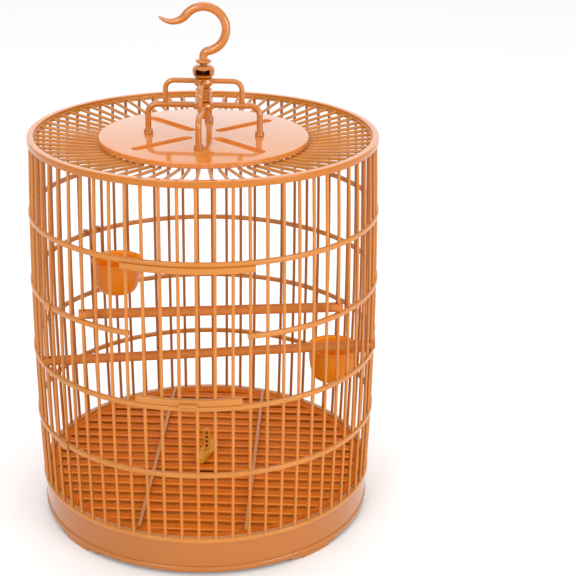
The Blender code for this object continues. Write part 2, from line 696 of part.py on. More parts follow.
def build_swivel(material):
    """A hollow bead that holds the hook's pin, with a window front and back."""
    belly_low, belly_high = (BEAD_BOTTOM + BEAD_HEIGHT * share for share in BEAD_BELLY_SHARES)
    floor = BEAD_BOTTOM + BEAD_WALL
    ceiling = BEAD_TOP - BEAD_WALL
    bore = PIN_RADIUS + PIN_PLAY
    profile = [(bore, BEAD_TOP), (BEAD_END_RADIUS, BEAD_TOP), (BEAD_RADIUS, belly_high),
               (BEAD_RADIUS, belly_low), (BEAD_END_RADIUS, BEAD_BOTTOM), (0.0, BEAD_BOTTOM),
               (0.0, floor), (BEAD_RADIUS - BEAD_WALL, floor), (BEAD_RADIUS - BEAD_WALL, ceiling),
               (bore, ceiling)]
    bead = turned("swivel_housing", profile, BEAD_STEPS, material, closed=True)
    through = 2 * (BEAD_RADIUS + OVERRUN)
    window = box("swivel_window", (BEAD_WINDOW_WIDTH, through, BEAD_WINDOW_HEIGHT),
                 (0.0, 0.0, (belly_low + belly_high) / 2), None)
    combine(bead, [window], "DIFFERENCE")


def hook_route():
    """Centre line of the hook in the X-Z plane: stem, small bend, large arc, upturned lip."""
    bend_z = HOOK_COLLAR_TOP + HOOK_STEM
    reach = HOOK_RADIUS + HOOK_BEND_RADIUS
    main_x = HOOK_OFFSET
    main_z = bend_z + math.sqrt(reach ** 2 - (HOOK_BEND_RADIUS - main_x) ** 2)
    meet = math.atan2(main_z - bend_z, main_x - HOOK_BEND_RADIUS)
    route = [(0.0, HOOK_COLLAR_TOP - COLLAR_HEIGHT / 2)]
    route += arc_points((HOOK_BEND_RADIUS, bend_z), HOOK_BEND_RADIUS, math.pi, meet, HOOK_BEND_POINTS)
    route += arc_points((main_x, main_z), HOOK_RADIUS, meet - math.pi, HOOK_LIP_START,
                        HOOK_ARC_POINTS)[1:]
    span = HOOK_RADIUS + HOOK_LIP_RADIUS
    lip = (main_x + span * math.cos(HOOK_LIP_START), main_z + span * math.sin(HOOK_LIP_START))
    lip_turn = HOOK_LIP_START - math.pi
    route += arc_points(lip, HOOK_LIP_RADIUS, lip_turn, lip_turn - HOOK_LIP_TURN, HOOK_LIP_POINTS)[1:]
    return route


def build_hook(material):
    """The hook, with its collar, its neck and the head that turns in the swivel housing."""
    ceiling = BEAD_TOP - BEAD_WALL
    edge = COLLAR_HEIGHT * COLLAR_EDGE_SHARE
    profile = [(0.0, HOOK_COLLAR_TOP), (COLLAR_RADIUS * COLLAR_TOP_SHARE, HOOK_COLLAR_TOP),
               (COLLAR_RADIUS, HOOK_COLLAR_TOP - edge), (COLLAR_RADIUS, HOOK_COLLAR_BOTTOM + edge),
               (PIN_RADIUS, HOOK_COLLAR_BOTTOM), (PIN_RADIUS, ceiling - CLEARANCE),
               (PIN_HEAD_RADIUS, ceiling - CLEARANCE),
               (PIN_HEAD_RADIUS, ceiling - CLEARANCE - PIN_HEAD_HEIGHT),
               (0.0, ceiling - CLEARANCE - PIN_HEAD_HEIGHT)]
    collar = turned("hook", profile, ROD_SIDES, material)
    route = hook_route()
    taper = HOOK_LIP_POINTS - 1
    shares = [1.0] * (len(route) - taper)
    for number in range(taper):
        share = (number + 1) / taper
        shares.append((1 - share) + HOOK_TIP_SHARE * share)
    wire = tubes("hook_wire", [[(x, 0.0, z) for x, z in route]], HOOK_WIRE, material, resolution=2,
                 shares=shares)
    combine(collar, [wire])


# Base, floor and tray


def build_skirt(material):
    ledge = SKIRT_INSIDE - SKIRT_LEDGE_WIDTH
    bead = SKIRT_RADIUS + SKIRT_BEAD
    bead_top = FOOT_HEIGHT + SKIRT_BEAD_HEIGHT
    ledge_low = SKIRT_TOP - SKIRT_LEDGE_HEIGHT
    profile = [(SKIRT_RADIUS, SKIRT_TOP), (SKIRT_RADIUS, bead_top + SKIRT_BEAD), (bead, bead_top),
               (bead, FOOT_HEIGHT), (SKIRT_INSIDE, FOOT_HEIGHT), (SKIRT_INSIDE, ledge_low),
               (ledge, ledge_low), (ledge, SKIRT_TOP)]
    turned("base_skirt", profile, SKIRT_STEPS, material, closed=True)


def build_feet(material):
    """Four low arcs under the skirt, each with a thinner step at both ends."""
    outer = SKIRT_RADIUS + SKIRT_BEAD - CLEARANCE
    inner = outer - FOOT_WIDTH
    top = FOOT_HEIGHT - CLEARANCE
    for name, azimuth in FEET.items():
        centre = math.radians(azimuth)
        half = FOOT_SPAN / 2
        strip = plate(f"foot_{name}", [sector_outline(inner, outer, centre - half, centre + half)],
                      top - FOOT_STEP_HEIGHT, top, material)
        pad_half = half - FOOT_STEP_SPAN
        outline = sector_outline(inner, outer, centre - pad_half, centre + pad_half)
        pad = plate(f"foot_{name}_pad", [outline], 0.0, top - FOOT_STEP_HEIGHT / 2, material)
        combine(strip, [pad])


def build_floor_grate(material):
    outer = GRATE_RADIUS
    inner = GRATE_INNER
    profile = [(outer, GRATE_TOP), (outer, GRATE_BOTTOM), (inner, GRATE_BOTTOM), (inner, GRATE_TOP)]
    rim = turned("floor_grate", profile, SKIRT_STEPS, material, closed=True)
    slats = []
    slat_top = GRATE_TOP - CLEARANCE
    for number in range(SLAT_COUNT):
        y = (number - (SLAT_COUNT - 1) / 2) * SLAT_PITCH
        edges = [max(-SLAT_LAST_EDGE, min(SLAT_LAST_EDGE, y + side * SLAT_WIDTH / 2)) for side in (-1, 1)]
        ends = [math.sqrt(SLAT_REACH ** 2 - edge ** 2) for edge in edges]
        outline = [(-ends[0], edges[0]), (ends[0], edges[0]), (ends[1], edges[1]), (-ends[1], edges[1])]
        slats.append(plate(f"slat_{number}", [outline], slat_top - SLAT_HEIGHT, slat_top, material))
    hub_top, hub_bottom = (slat_top - SLAT_HEIGHT * share for share in GRATE_HUB_SHARES)
    hub = cylinder("grate_hub", GRATE_HUB_RADIUS, hub_bottom, hub_top, HUB_SIDES, material)
    hole = cylinder("grate_hub_hole", LATCH_SHAFT_RADIUS + LATCH_SHAFT_PLAY, GRATE_BOTTOM - OVERRUN,
                    GRATE_TOP + OVERRUN, HUB_SIDES, None)
    combine(rim, slats + [hub])
    combine(rim, [hole], "DIFFERENCE")


def build_floor_ribs(material):
    half = math.sqrt(GRATE_RADIUS ** 2 - RIB_OFFSET ** 2) - RIB_WIDTH
    for name, sign in (("left", -1), ("right", 1)):
        box(f"floor_rib_{name}", (RIB_WIDTH, 2 * half, RIB_HEIGHT),
            (sign * RIB_OFFSET, 0.0, GRATE_TOP + RIB_HEIGHT / 2), material)


def build_tray(material):
    """A shallow pan, raised a little in the middle, with a square hole for the latch's foot."""
    outer = SKIRT_INSIDE - TRAY_SIDE_GAP
    floor = TRAY_BOTTOM + TRAY_WALL
    profile = [(0.0, floor + TRAY_PEAK_HEIGHT), (TRAY_PEAK_RADIUS, floor),
               (outer - TRAY_CORNER, floor), (outer - TRAY_WALL, TRAY_BOTTOM + TRAY_CORNER),
               (outer - TRAY_WALL, TRAY_TOP), (outer, TRAY_TOP), (outer, TRAY_BOTTOM + TRAY_CORNER),
               (outer - TRAY_CORNER, TRAY_BOTTOM), (TRAY_PEAK_RADIUS, TRAY_BOTTOM),
               (0.0, TRAY_BOTTOM + TRAY_PEAK_HEIGHT)]
    tray = turned("tray", profile, TRAY_STEPS, material)
    hole = box("tray_hole", (TRAY_HOLE_SIDE, TRAY_HOLE_SIDE, TRAY_DEPTH), (0.0, 0.0, floor), None)
    combine(tray, [hole], "DIFFERENCE")


def build_latch(key_material, stem_material):
    """A turning key on the grate, its foot just above the tray's hole, and a ladder-shaped grip."""
    top = GRATE_TOP + CLEARANCE + LATCH_KEY_HEIGHT
    key = box("latch_key", (LATCH_KEY_LENGTH, LATCH_KEY_WIDTH, LATCH_KEY_HEIGHT),
              (0.0, 0.0, top - LATCH_KEY_HEIGHT / 2), key_material, LATCH_KEY_ANGLE)
    foot_low = TRAY_BOTTOM + TRAY_WALL + TRAY_PEAK_HEIGHT + CLEARANCE
    shaft = cylinder("latch_shaft", LATCH_SHAFT_RADIUS, foot_low + OVERRUN, top - LATCH_KEY_HEIGHT / 2,
                     ROD_SIDES, key_material)
    foot = cylinder("latch_foot", LATCH_FOOT_RADIUS, foot_low, GRATE_BOTTOM - OVERRUN, ROD_SIDES,
                    key_material)
    combine(key, [shaft, foot])
    low = top + CLEARANCE
    half = LATCH_STEM_WIDTH / 2
    shoulder = LATCH_STEM_HEIGHT - half
    crown = arc_points((0.0, shoulder), half, 0.0, math.pi, LATCH_CROWN_POINTS)
    outline = [(-half, 0.0), (half, 0.0)] + crown
    pitch = LATCH_STEM_HEIGHT / (LATCH_HOLE_COUNT + LATCH_CROWN_SHARE)
    holes = []
    for number in range(LATCH_HOLE_COUNT):
        z = pitch * (number + LATCH_FIRST_HOLE_SHARE)
        w, h = LATCH_HOLE_WIDTH / 2, LATCH_HOLE_HEIGHT / 2
        holes.append([(-w, z - h), (-w, z + h), (w, z + h), (w, z - h)])
    upright = Matrix.Translation((0.0, 0.0, low)) @ Matrix.Rotation(math.pi / 2, 4, "X")
    plate("latch_stem", [outline] + holes, -LATCH_STEM_THICKNESS / 2, LATCH_STEM_THICKNESS / 2,
          stem_material, upright)


# Cups and perches


def build_cup(name, cup, material):
    """A bowl inside the wall on two hooks that pass between bars and over a hoop."""
    azimuth = cup["pitches"] * BAR_PITCH
    hoop_top = hoop_height(cup["hoop"]) + HOOP_HEIGHT / 2
    rim = hoop_top - CUP_BELOW_HOOP
    outside = [(CUP_RADIUS * wide, -CUP_DEPTH * down) for wide, down in CUP_SHAPE_SHARES]
    inside = [(r - CUP_WALL, max(z, -CUP_DEPTH + CUP_WALL)) for r, z in reversed(outside)]
    profile = [(0.0, -CUP_DEPTH + CUP_WALL)] + inside + outside + [(0.0, -CUP_DEPTH)]
    bowl = turned(name, profile, CUP_STEPS, material)
    place = Matrix.Translation(on_circle(CUP_OUT, azimuth, rim))
    bowl.matrix_world = place @ Matrix.Rotation(azimuth, 4, "Z")
    middle = wall_radius(hoop_height(cup["hoop"]))
    thick = CUP_HOOK_THICKNESS
    spread = CUP_HOOK_SPREAD_SHARE * BAR_PITCH
    wall = CUP_RADIUS * CUP_SHAPE_SHARES[2][0]
    bowl_face = CUP_OUT * math.cos(spread) - CUP_WALL * CUP_HOOK_SINK_SHARE
    bowl_face += math.sqrt(wall ** 2 - (CUP_OUT * math.sin(spread)) ** 2)
    inner_face = middle - CUP_HOOK_SETBACK
    outer_face = middle + HOOP_OUTSIDE + CUP_HOOK_PLAY
    bridge = hoop_top + CUP_HOOK_PLAY
    drop = bridge - CUP_HOOK_DROP
    foot = rim - CUP_HOOK_FOOT_DROP
    outline = [(bowl_face, foot - thick), (inner_face, foot - thick), (inner_face, bridge),
               (outer_face, bridge), (outer_face, drop), (outer_face + thick, drop),
               (outer_face + thick, bridge + thick), (inner_face - thick, bridge + thick),
               (inner_face - thick, foot), (bowl_face, foot)]
    hooks = []
    for sign in (-1, 1):
        turn = azimuth + sign * spread - math.pi / 2
        upright = Matrix.Rotation(turn, 4, "Z") @ Matrix.Rotation(math.pi / 2, 4, "X")
        hooks.append(plate(f"{name}_hook_{sign}", [outline], -CUP_HOOK_WIDTH / 2, CUP_HOOK_WIDTH / 2,
                           material, upright))
    combine(bowl, hooks)


def build_perch(name, perch, material):
    """A round rod whose slotted ends straddle a bar and rest on a hoop."""
    height = hoop_height(perch["hoop"]) + HOOP_HEIGHT / 2 + CLEARANCE + PERCH_RADIUS
    bars = [on_circle(wall_radius(height), bar_azimuth(perch[end]), height)
            for end in ("from_bar", "to_bar")]
    along = (bars[1] - bars[0]).normalized()
    length = (bars[1] - bars[0]).length
    profile = [(0.0, length + PERCH_PAST_BAR), (PERCH_RADIUS, length + PERCH_PAST_BAR),
               (PERCH_RADIUS, -PERCH_PAST_BAR), (0.0, -PERCH_PAST_BAR)]
    rod = turned(name, profile, PERCH_SIDES, material)
    turn = math.atan2(along.y, along.x)
    lie = Matrix.Rotation(turn, 4, "Z") @ Matrix.Rotation(math.pi / 2, 4, "Y")
    rod.matrix_world = Matrix.Translation(bars[0]) @ lie
    slots = []
    half = BAR_RADIUS + PERCH_SLOT_PLAY
    slot_length = PERCH_PAST_BAR + OVERRUN + half
    for number, (bar, way) in enumerate(zip(bars, (-1, 1))):
        centre = bar + along * (way * (slot_length / 2 - half))
        size = (slot_length, 2 * half, 2 * (PERCH_RADIUS + OVERRUN))
        slots.append(box(f"{name}_slot_{number}", size, centre, None, turn))
    combine(rod, slots, "DIFFERENCE")


def main():
    clear_scene()
    orange = make_material("cage_plastic", (0.78, 0.32, 0.09), 0.38)
    disc_finish = make_material("gloss_plastic", (0.80, 0.40, 0.16), 0.12)
    skirt_finish = make_material("skirt_plastic", (0.62, 0.27, 0.09), 0.22)
    floor_finish = make_material("floor_plastic", (0.72, 0.20, 0.04), 0.35)
    tray_finish = make_material("tray_plastic", (0.80, 0.36, 0.06), 0.30)
    cup_finish = make_material("cup_plastic", (0.70, 0.24, 0.03), 0.28)
    perch_finish = make_material("perch_plastic", (0.58, 0.22, 0.05), 0.55)
    latch_finish = make_material("latch_plastic", (0.66, 0.36, 0.08), 0.30)

    build_feet(skirt_finish)
    build_skirt(skirt_finish)
    build_tray(tray_finish)
    build_floor_grate(floor_finish)
    build_floor_ribs(orange)
    build_latch(latch_finish, latch_finish)
    build_wall_panels(orange)
    build_front_lower_panel(orange)
    build_hoops(orange)
    build_hoop_clips(orange)
    build_top_ring(orange)
    build_door(orange)
    build_lintel(orange)
    build_roof_grille(orange)
    build_roof_disc(disc_finish)
    build_yoke(orange)
    build_spindle(orange)
    build_swivel(orange)
    build_hook(orange)
    build_cup("cup_left", CUP_LEFT, cup_finish)
    build_cup("cup_right", CUP_RIGHT, cup_finish)
    build_perch("perch_upper", PERCH_UPPER, perch_finish)
    build_perch("perch_lower", PERCH_LOWER, perch_finish)


main()
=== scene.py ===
"""Looks of the round hanging bird cage: every visible piece, its finish, the light and the camera.
Metres, +Z up, door towards -Y. Azimuths are measured from the door's centre, positive towards +X."""

import json
import math

import bmesh
import bpy
from mathutils import Matrix, Vector


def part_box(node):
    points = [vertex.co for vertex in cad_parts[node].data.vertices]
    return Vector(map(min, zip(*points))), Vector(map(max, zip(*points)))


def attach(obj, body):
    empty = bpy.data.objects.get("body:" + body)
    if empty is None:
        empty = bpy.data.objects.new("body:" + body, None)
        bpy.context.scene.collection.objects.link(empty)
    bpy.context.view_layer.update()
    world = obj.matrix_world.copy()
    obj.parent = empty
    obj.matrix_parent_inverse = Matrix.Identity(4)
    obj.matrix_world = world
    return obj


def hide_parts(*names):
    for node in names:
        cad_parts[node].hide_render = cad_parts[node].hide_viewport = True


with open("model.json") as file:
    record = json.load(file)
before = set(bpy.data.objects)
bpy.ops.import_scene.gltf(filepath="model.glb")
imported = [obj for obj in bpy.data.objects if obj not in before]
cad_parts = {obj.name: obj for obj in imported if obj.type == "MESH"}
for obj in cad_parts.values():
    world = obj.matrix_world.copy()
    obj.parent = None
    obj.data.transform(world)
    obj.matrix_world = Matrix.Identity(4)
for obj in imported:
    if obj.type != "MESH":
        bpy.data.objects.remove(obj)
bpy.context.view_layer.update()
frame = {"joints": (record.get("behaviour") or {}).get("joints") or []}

# Wall sizes shared with the CAD
BAR_COUNT = 66
DOOR_BARS = 6
PANELS = 12
BAR_PITCH = 2 * math.pi / BAR_COUNT
BAR_RADIUS = 0.00150
WALL_RADIUS = 0.1617
BARREL_RADIUS = 3.94
WIDEST_HEIGHT = 0.1790
RING_WIDTH = 0.0060
RAIL_HEIGHT = 0.0045
CLEARANCE = 0.0003
DOOR_SLIDE = next(j for j in frame["joints"] if j["name"] == "door_slide")
DOOR_AXIS = Vector(DOOR_SLIDE["axis"]).normalized()

# Heights and radii read from the frame
RING_LOW, RING_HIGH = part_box("top_ring")
RING_RADIUS = RING_HIGH.x
RING_INNER = RING_RADIUS - RING_WIDTH
HOOPS = {n: [corner.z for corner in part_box(f"hoop_{n}")] for n in range(1, 5)}
RAIL_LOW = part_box("front_lower_panel")[0].z
RAIL_TOP = RAIL_LOW + RAIL_HEIGHT
SKIRT_LOW, SKIRT_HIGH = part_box("base_skirt")
GRATE_LOW, GRATE_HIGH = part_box("floor_grate")
TRAY_LOW, TRAY_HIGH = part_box("tray")
DISC_LOW, DISC_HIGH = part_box("roof_disc")
DISC_TOP = DISC_HIGH.z

# Fineness of the round shapes
RING_STEPS = 264
ARC_STEPS = 396     # to a whole turn, for pieces that run over a part of it
BAR_SIDES = 12
SHARP_ANGLE = math.radians(40)
BEVEL_ANGLE = math.radians(35)
CUT_OVERRUN = 0.002


def hoop_middle(number):
    return sum(HOOPS[number]) / 2


def wall_radius(height):
    """Radius of the bar centres at a height."""
    return WALL_RADIUS - (height - WIDEST_HEIGHT) ** 2 / (2 * BARREL_RADIUS)


def bar_azimuth(number):
    return (number + 0.5) * BAR_PITCH


def on_circle(radius, azimuth, height=0.0):
    return Vector((radius * math.sin(azimuth), -radius * math.cos(azimuth), height))


# Shapes


def arc(centre, radius, start, end, count):
    """Points of an arc in a plane, both ends included, angles in degrees."""
    points = []
    for number in range(count):
        turn = math.radians(start + (end - start) * number / (count - 1))
        points.append((centre[0] + radius * math.cos(turn), centre[1] + radius * math.sin(turn)))
    return points


def rounded_box_outline(low_x, high_x, low_y, high_y, radius, count=4):
    """Corner-rounded rectangle, counter-clockwise."""
    r = radius
    points = arc((high_x - r, low_y + r), r, -90, 0, count)
    points += arc((high_x - r, high_y - r), r, 0, 90, count)
    points += arc((low_x + r, high_y - r), r, 90, 180, count)
    points += arc((low_x + r, low_y + r), r, 180, 270, count)
    return points


class Shape:
    """Closed shells gathered into one mesh."""

    def __init__(self):
        self.mesh = bmesh.new()

    def loops(self, rows, closed_rows=False):
        """Skins rows of points; each row is a closed loop. Open skins get flat caps."""
        made = [[self.mesh.verts.new(p) for p in row] for row in rows]
        pairs = list(zip(made, made[1:]))
        if closed_rows:
            pairs.append((made[-1], made[0]))
        size = len(made[0])
        for first, second in pairs:
            for i in range(size):
                j = (i + 1) % size
                self.mesh.faces.new((first[i], first[j], second[j], second[i]))
        if not closed_rows:
            self.mesh.faces.new(list(reversed(made[0])))
            self.mesh.faces.new(made[-1])
        return self

    def tube(self, points, radius, sides=BAR_SIDES):
        """A tube along points; radius may be a list, one for each point."""
        points = [Vector(p) for p in points]
        radii = radius if isinstance(radius, list) else [radius] * len(points)
        rows = []
        side = None
        for number, point in enumerate(points):
            ahead = points[min(number + 1, len(points) - 1)] - points[max(number - 1, 0)]
            ahead.normalize()
            if side is None:
                side = ahead.orthogonal().normalized()
            else:
                side = (side - ahead * side.dot(ahead)).normalized()
            other = ahead.cross(side)
            row = []
            for i in range(sides):
                turn = 2 * math.pi * i / sides
                row.append(point + (side * math.cos(turn) + other * math.sin(turn)) * radii[number])
            rows.append(row)
        return self.loops(rows)

    def revolve(self, profile, steps=RING_STEPS, start=None, end=None):
        """A closed (radius, height) profile turned about Z, all round or between two azimuths."""
        whole = start is None
        first, last = (0.0, 2 * math.pi) if whole else (start, end)
        count = steps if whole else max(2, math.ceil(steps * (last - first) / (2 * math.pi)) + 1)
        rows = []
        for number in range(count):
            share = number / (count if whole else count - 1)
            turn = first + (last - first) * share
            rows.append([on_circle(r, turn, z) for r, z in profile])
        return self.loops(rows, closed_rows=whole)

    def turned(self, profile, steps=64, matrix=None):
        """A solid of revolution whose open profile starts and ends on the axis."""
        matrix = matrix or Matrix.Identity(4)
        inner = profile[1:-1]
        top = self.mesh.verts.new(matrix @ Vector((0.0, 0.0, profile[0][1])))
        bottom = self.mesh.verts.new(matrix @ Vector((0.0, 0.0, profile[-1][1])))
        rings = []
        for r, z in inner:
            rings.append([self.mesh.verts.new(matrix @ on_circle(r, 2 * math.pi * i / steps, z))
                          for i in range(steps)])
        for i in range(steps):
            j = (i + 1) % steps
            self.mesh.faces.new((top, rings[0][i], rings[0][j]))
            self.mesh.faces.new((bottom, rings[-1][j], rings[-1][i]))
        for first, second in zip(rings, rings[1:]):
            for i in range(steps):
                j = (i + 1) % steps
                self.mesh.faces.new((first[i], second[i], second[j], first[j]))
        return self

    def prism(self, outline, low, high, matrix=None, taper=0.0):
        """A flat outline between two heights; taper draws the low end in towards its middle."""
        matrix = matrix or Matrix.Identity(4)
        mid_x = sum(p[0] for p in outline) / len(outline)
        mid_y = sum(p[1] for p in outline) / len(outline)
        low_row = []
        for x, y in outline:
            away = Vector((x - mid_x, y - mid_y))
            away = away - away.normalized() * taper if away.length else away
            low_row.append(matrix @ Vector((mid_x + away.x, mid_y + away.y, low)))
        high_row = [matrix @ Vector((x, y, high)) for x, y in outline]
        return self.loops([low_row, high_row])

    def block(self, low, high, matrix=None):
        outline = [(low[0], low[1]), (high[0], low[1]), (high[0], high[1]), (low[0], high[1])]
        return self.prism(outline, low[2], high[2], matrix)

    def make(self, name, material, edge=0.0):
        """The finished object; edge is the width that its sharp edges are rounded by."""
        bmesh.ops.recalc_face_normals(self.mesh, faces=self.mesh.faces)
        data = bpy.data.meshes.new(name)
        self.mesh.to_mesh(data)
        self.mesh.free()
        obj = bpy.data.objects.new(name, data)
        bpy.context.scene.collection.objects.link(obj)
        if material:
            data.materials.append(material)
        if edge:
            add_bevel(obj, edge)
        shade_smooth(data)
        return obj


def shade_smooth(data):
    """Shades a mesh smooth, apart from its sharp edges."""
    for polygon in data.polygons:
        polygon.use_smooth = True
    data.set_sharp_from_angle(angle=SHARP_ANGLE)


def add_bevel(obj, width):
    bevel = obj.modifiers.new("soft_edges", "BEVEL")
    bevel.width = width
    bevel.segments = 2
    bevel.limit_method = "ANGLE"
    bevel.angle_limit = BEVEL_ANGLE
    bevel.harden_normals = False


def cut(obj, shape, name, bevel=0.0):
    """Cuts a gathered shape out of obj; bevel is the width that the edges are rounded by after it."""
    other = shape.make(name, None)
    step = obj.modifiers.new(name, "BOOLEAN")
    step.operation = "DIFFERENCE"
    step.solver = "EXACT"
    step.object = other
    apply_modifiers(obj)
    bpy.data.objects.remove(other, do_unlink=True)
    if bevel:
        add_bevel(obj, bevel)


def apply_modifiers(obj):
    bpy.context.view_layer.update()
    graph = bpy.context.evaluated_depsgraph_get()
    data = bpy.data.meshes.new_from_object(obj.evaluated_get(graph))
    obj.modifiers.clear()
    obj.data = data
    shade_smooth(data)


def paint_faces(obj, material, chosen):
    """Gives a second material to the faces whose middle and normal pass the test."""
    obj.data.materials.append(material)
    last = len(obj.data.materials) - 1
    for polygon in obj.data.polygons:
        if chosen(polygon.center, polygon.normal):
            polygon.material_index = last


def place(obj, body, slot, *nodes):
    """Hangs a piece on its body and says which nodes it stands for, by hiding them; slot is not used."""
    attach(obj, body)
    if nodes:
        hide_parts(*nodes)


# Materials


SHADE_EDGE = 0.25   # how far off square to the axis the blend starts


def paint_inside_shade(tree, color, shade):
    """Painted shade: blends a colour to a darker one on the faces that look at the cage's axis."""
    nodes, links = tree.nodes, tree.links
    surface = nodes.new("ShaderNodeNewGeometry")
    flat = nodes.new("ShaderNodeVectorMath")
    flat.operation = "MULTIPLY"
    flat.inputs[1].default_value = (1.0, 1.0, 0.0)
    links.new(surface.outputs["Position"], flat.inputs[0])
    out = nodes.new("ShaderNodeVectorMath")
    out.operation = "NORMALIZE"
    links.new(flat.outputs["Vector"], out.inputs[0])
    facing = nodes.new("ShaderNodeVectorMath")
    facing.operation = "DOT_PRODUCT"
    links.new(out.outputs["Vector"], facing.inputs[0])
    links.new(surface.outputs["Normal"], facing.inputs[1])
    amount = nodes.new("ShaderNodeMapRange")
    amount.interpolation_type = "SMOOTHSTEP"
    amount.inputs["From Min"].default_value = SHADE_EDGE
    amount.inputs["From Max"].default_value = -SHADE_EDGE * 2
    links.new(facing.outputs["Value"], amount.inputs["Value"])
    mix = nodes.new("ShaderNodeMix")
    mix.data_type = "RGBA"
    mix.blend_type = "MULTIPLY"
    links.new(amount.outputs["Result"], mix.inputs["Factor"])
    links.new(color, mix.inputs["A"])
    mix.inputs["B"].default_value = (*shade, 1.0)
    return mix.outputs["Result"]


def moulded_plastic(name, color, roughness, specular=0.5, coat=0.0, grain=0.06, mottle=0.05, shade=None):
    """Injection-moulded plastic: slight colour flow, fine grain and soft sheen."""
    material = bpy.data.materials.new(name)
    material.use_nodes = True
    tree = material.node_tree
    nodes, links = tree.nodes, tree.links
    shader = nodes["Principled BSDF"]
    shader.inputs["IOR"].default_value = 1.46
    shader.inputs["Coat Weight"].default_value = coat
    shader.inputs["Coat Roughness"].default_value = 0.08
    shader.inputs["Specular IOR Level"].default_value = specular
    place_node = nodes.new("ShaderNodeTexCoord")

    flow = nodes.new("ShaderNodeTexNoise")
    flow.inputs["Scale"].default_value = 24.0
    flow.inputs["Detail"].default_value = 2.0
    flow.inputs["Distortion"].default_value = 0.6
    links.new(place_node.outputs["Object"], flow.inputs["Vector"])
    tint = nodes.new("ShaderNodeValToRGB")
    dark = [c * (1 - mottle) for c in color]
    light = [min(1.0, c * (1 + mottle)) for c in color]
    tint.color_ramp.elements[0].position = 0.32
    tint.color_ramp.elements[0].color = (*dark, 1.0)
    tint.color_ramp.elements[1].position = 0.68
    tint.color_ramp.elements[1].color = (*light, 1.0)
    links.new(flow.outputs["Fac"], tint.inputs["Fac"])
    base = tint.outputs["Color"]
    # painted shade: when a shade colour is given, the faces that look at the cage's axis are darkened by
    # it
    if shade:
        base = paint_inside_shade(tree, base, shade)
    links.new(base, shader.inputs["Base Color"])

    speck = nodes.new("ShaderNodeTexNoise")
    speck.inputs["Scale"].default_value = 420.0
    speck.inputs["Detail"].default_value = 3.0
    links.new(place_node.outputs["Object"], speck.inputs["Vector"])
    rough = nodes.new("ShaderNodeMapRange")
    rough.inputs["From Min"].default_value = 0.3
    rough.inputs["From Max"].default_value = 0.7
    rough.inputs["To Min"].default_value = max(0.02, roughness - 0.04)
    rough.inputs["To Max"].default_value = roughness + 0.04
    links.new(speck.outputs["Fac"], rough.inputs["Value"])
    links.new(rough.outputs["Result"], shader.inputs["Roughness"])

    bump = nodes.new("ShaderNodeBump")
    bump.inputs["Strength"].default_value = grain
    bump.inputs["Distance"].default_value = 0.0003
    links.new(speck.outputs["Fac"], bump.inputs["Height"])
    links.new(bump.outputs["Normal"], shader.inputs["Normal"])
    return material


# painted shade: multiplied into the bars' faces that look at the cage's axis, which stands in for the
# shade inside the cage
PAINTED_INNER_SHADE = (0.74, 0.66, 0.90)
CAGE = moulded_plastic("cage_plastic", (0.49, 0.163, 0.012), 0.30, coat=0.3)
SHADED_BARS = moulded_plastic("bar_plastic_painted_shade", (0.51, 0.166, 0.012), 0.32, coat=0.2, shade=PAINTED_INNER_SHADE)
RING = moulded_plastic("ring_plastic", (0.45, 0.134, 0.007), 0.22, specular=0.3, coat=0.3, grain=0.03,
                       mottle=0.03)
YOKE = moulded_plastic("yoke_plastic", (0.48, 0.142, 0.008), 0.14, coat=0.9, grain=0.02, mottle=0.03)
# painted shade: a duller, sheenless copy of the disc's plastic for the faces inside the grooves and the
# slot, so the recesses read as darker bands
GROOVE_SHADE = moulded_plastic("groove_painted_shade", (0.70, 0.255, 0.055), 0.45, specular=0.2, grain=0.03)
DISC = moulded_plastic("disc_plastic", (0.62, 0.190, 0.020), 0.13, coat=0.7, grain=0.01, mottle=0.02)
SKIRT = moulded_plastic("skirt_plastic", (0.41, 0.124, 0.010), 0.18, coat=0.4, grain=0.02, mottle=0.02)
FLOOR = moulded_plastic("floor_plastic", (0.58, 0.125, 0.003), 0.50, specular=0.05)
# painted highlight: a lighter, glossier copy of the floor plastic for the slats' rounded edges
FLOOR_EDGE_HIGHLIGHT = moulded_plastic("floor_edge_highlight", (0.72, 0.215, 0.030), 0.35, specular=0.4)
TRAY = moulded_plastic("tray_plastic", (0.72, 0.285, 0.024), 0.24, coat=0.3, grain=0.03, mottle=0.03)
CUP = moulded_plastic("cup_plastic", (0.66, 0.180, 0.004), 0.30, specular=0.3, grain=0.02, mottle=0.02)
# painted light: a brighter copy of the cup plastic for the bowl's inside faces, so they read lit
CUP_INSIDE_LIGHT = moulded_plastic("cup_inside_painted_light", (0.92, 0.310, 0.010), 0.36, specular=0.2, grain=0.02)
PERCH = moulded_plastic("perch_plastic", (0.47, 0.128, 0.008), 0.46, grain=0.15, mottle=0.06)
LATCH = moulded_plastic("latch_plastic", (0.60, 0.250, 0.022), 0.34, specular=0.3)
# painted shade: a dark copy of the plastic for the inside of the swivel bead and the grip's holes, where
# little light gets in
HOLLOW_SHADE = moulded_plastic("hollow_painted_shade", (0.26, 0.050, 0.012), 0.40, grain=0.03)


def steel(name):
    """Brushed pin steel with a fine turned grain."""
    material = bpy.data.materials.new(name)
    material.use_nodes = True
    nodes, links = material.node_tree.nodes, material.node_tree.links
    shader = nodes["Principled BSDF"]
    shader.inputs["Metallic"].default_value = 1.0
    shader.inputs["Base Color"].default_value = (0.42, 0.40, 0.38, 1.0)
    grain = nodes.new("ShaderNodeTexNoise")
    grain.inputs["Scale"].default_value = 900.0
    rough = nodes.new("ShaderNodeMapRange")
    rough.inputs["To Min"].default_value = 0.20
    rough.inputs["To Max"].default_value = 0.36
    links.new(grain.outputs["Fac"], rough.inputs["Value"])
    links.new(rough.outputs["Result"], shader.inputs["Roughness"])
    return material


PIN = steel("pin_steel")


# Wall


BAR_SINK = 0.002            # how far the bars run into the ring and the rail
BAR_END_DROP = 0.0006       # below hoop 3's top, where the bars under the door end


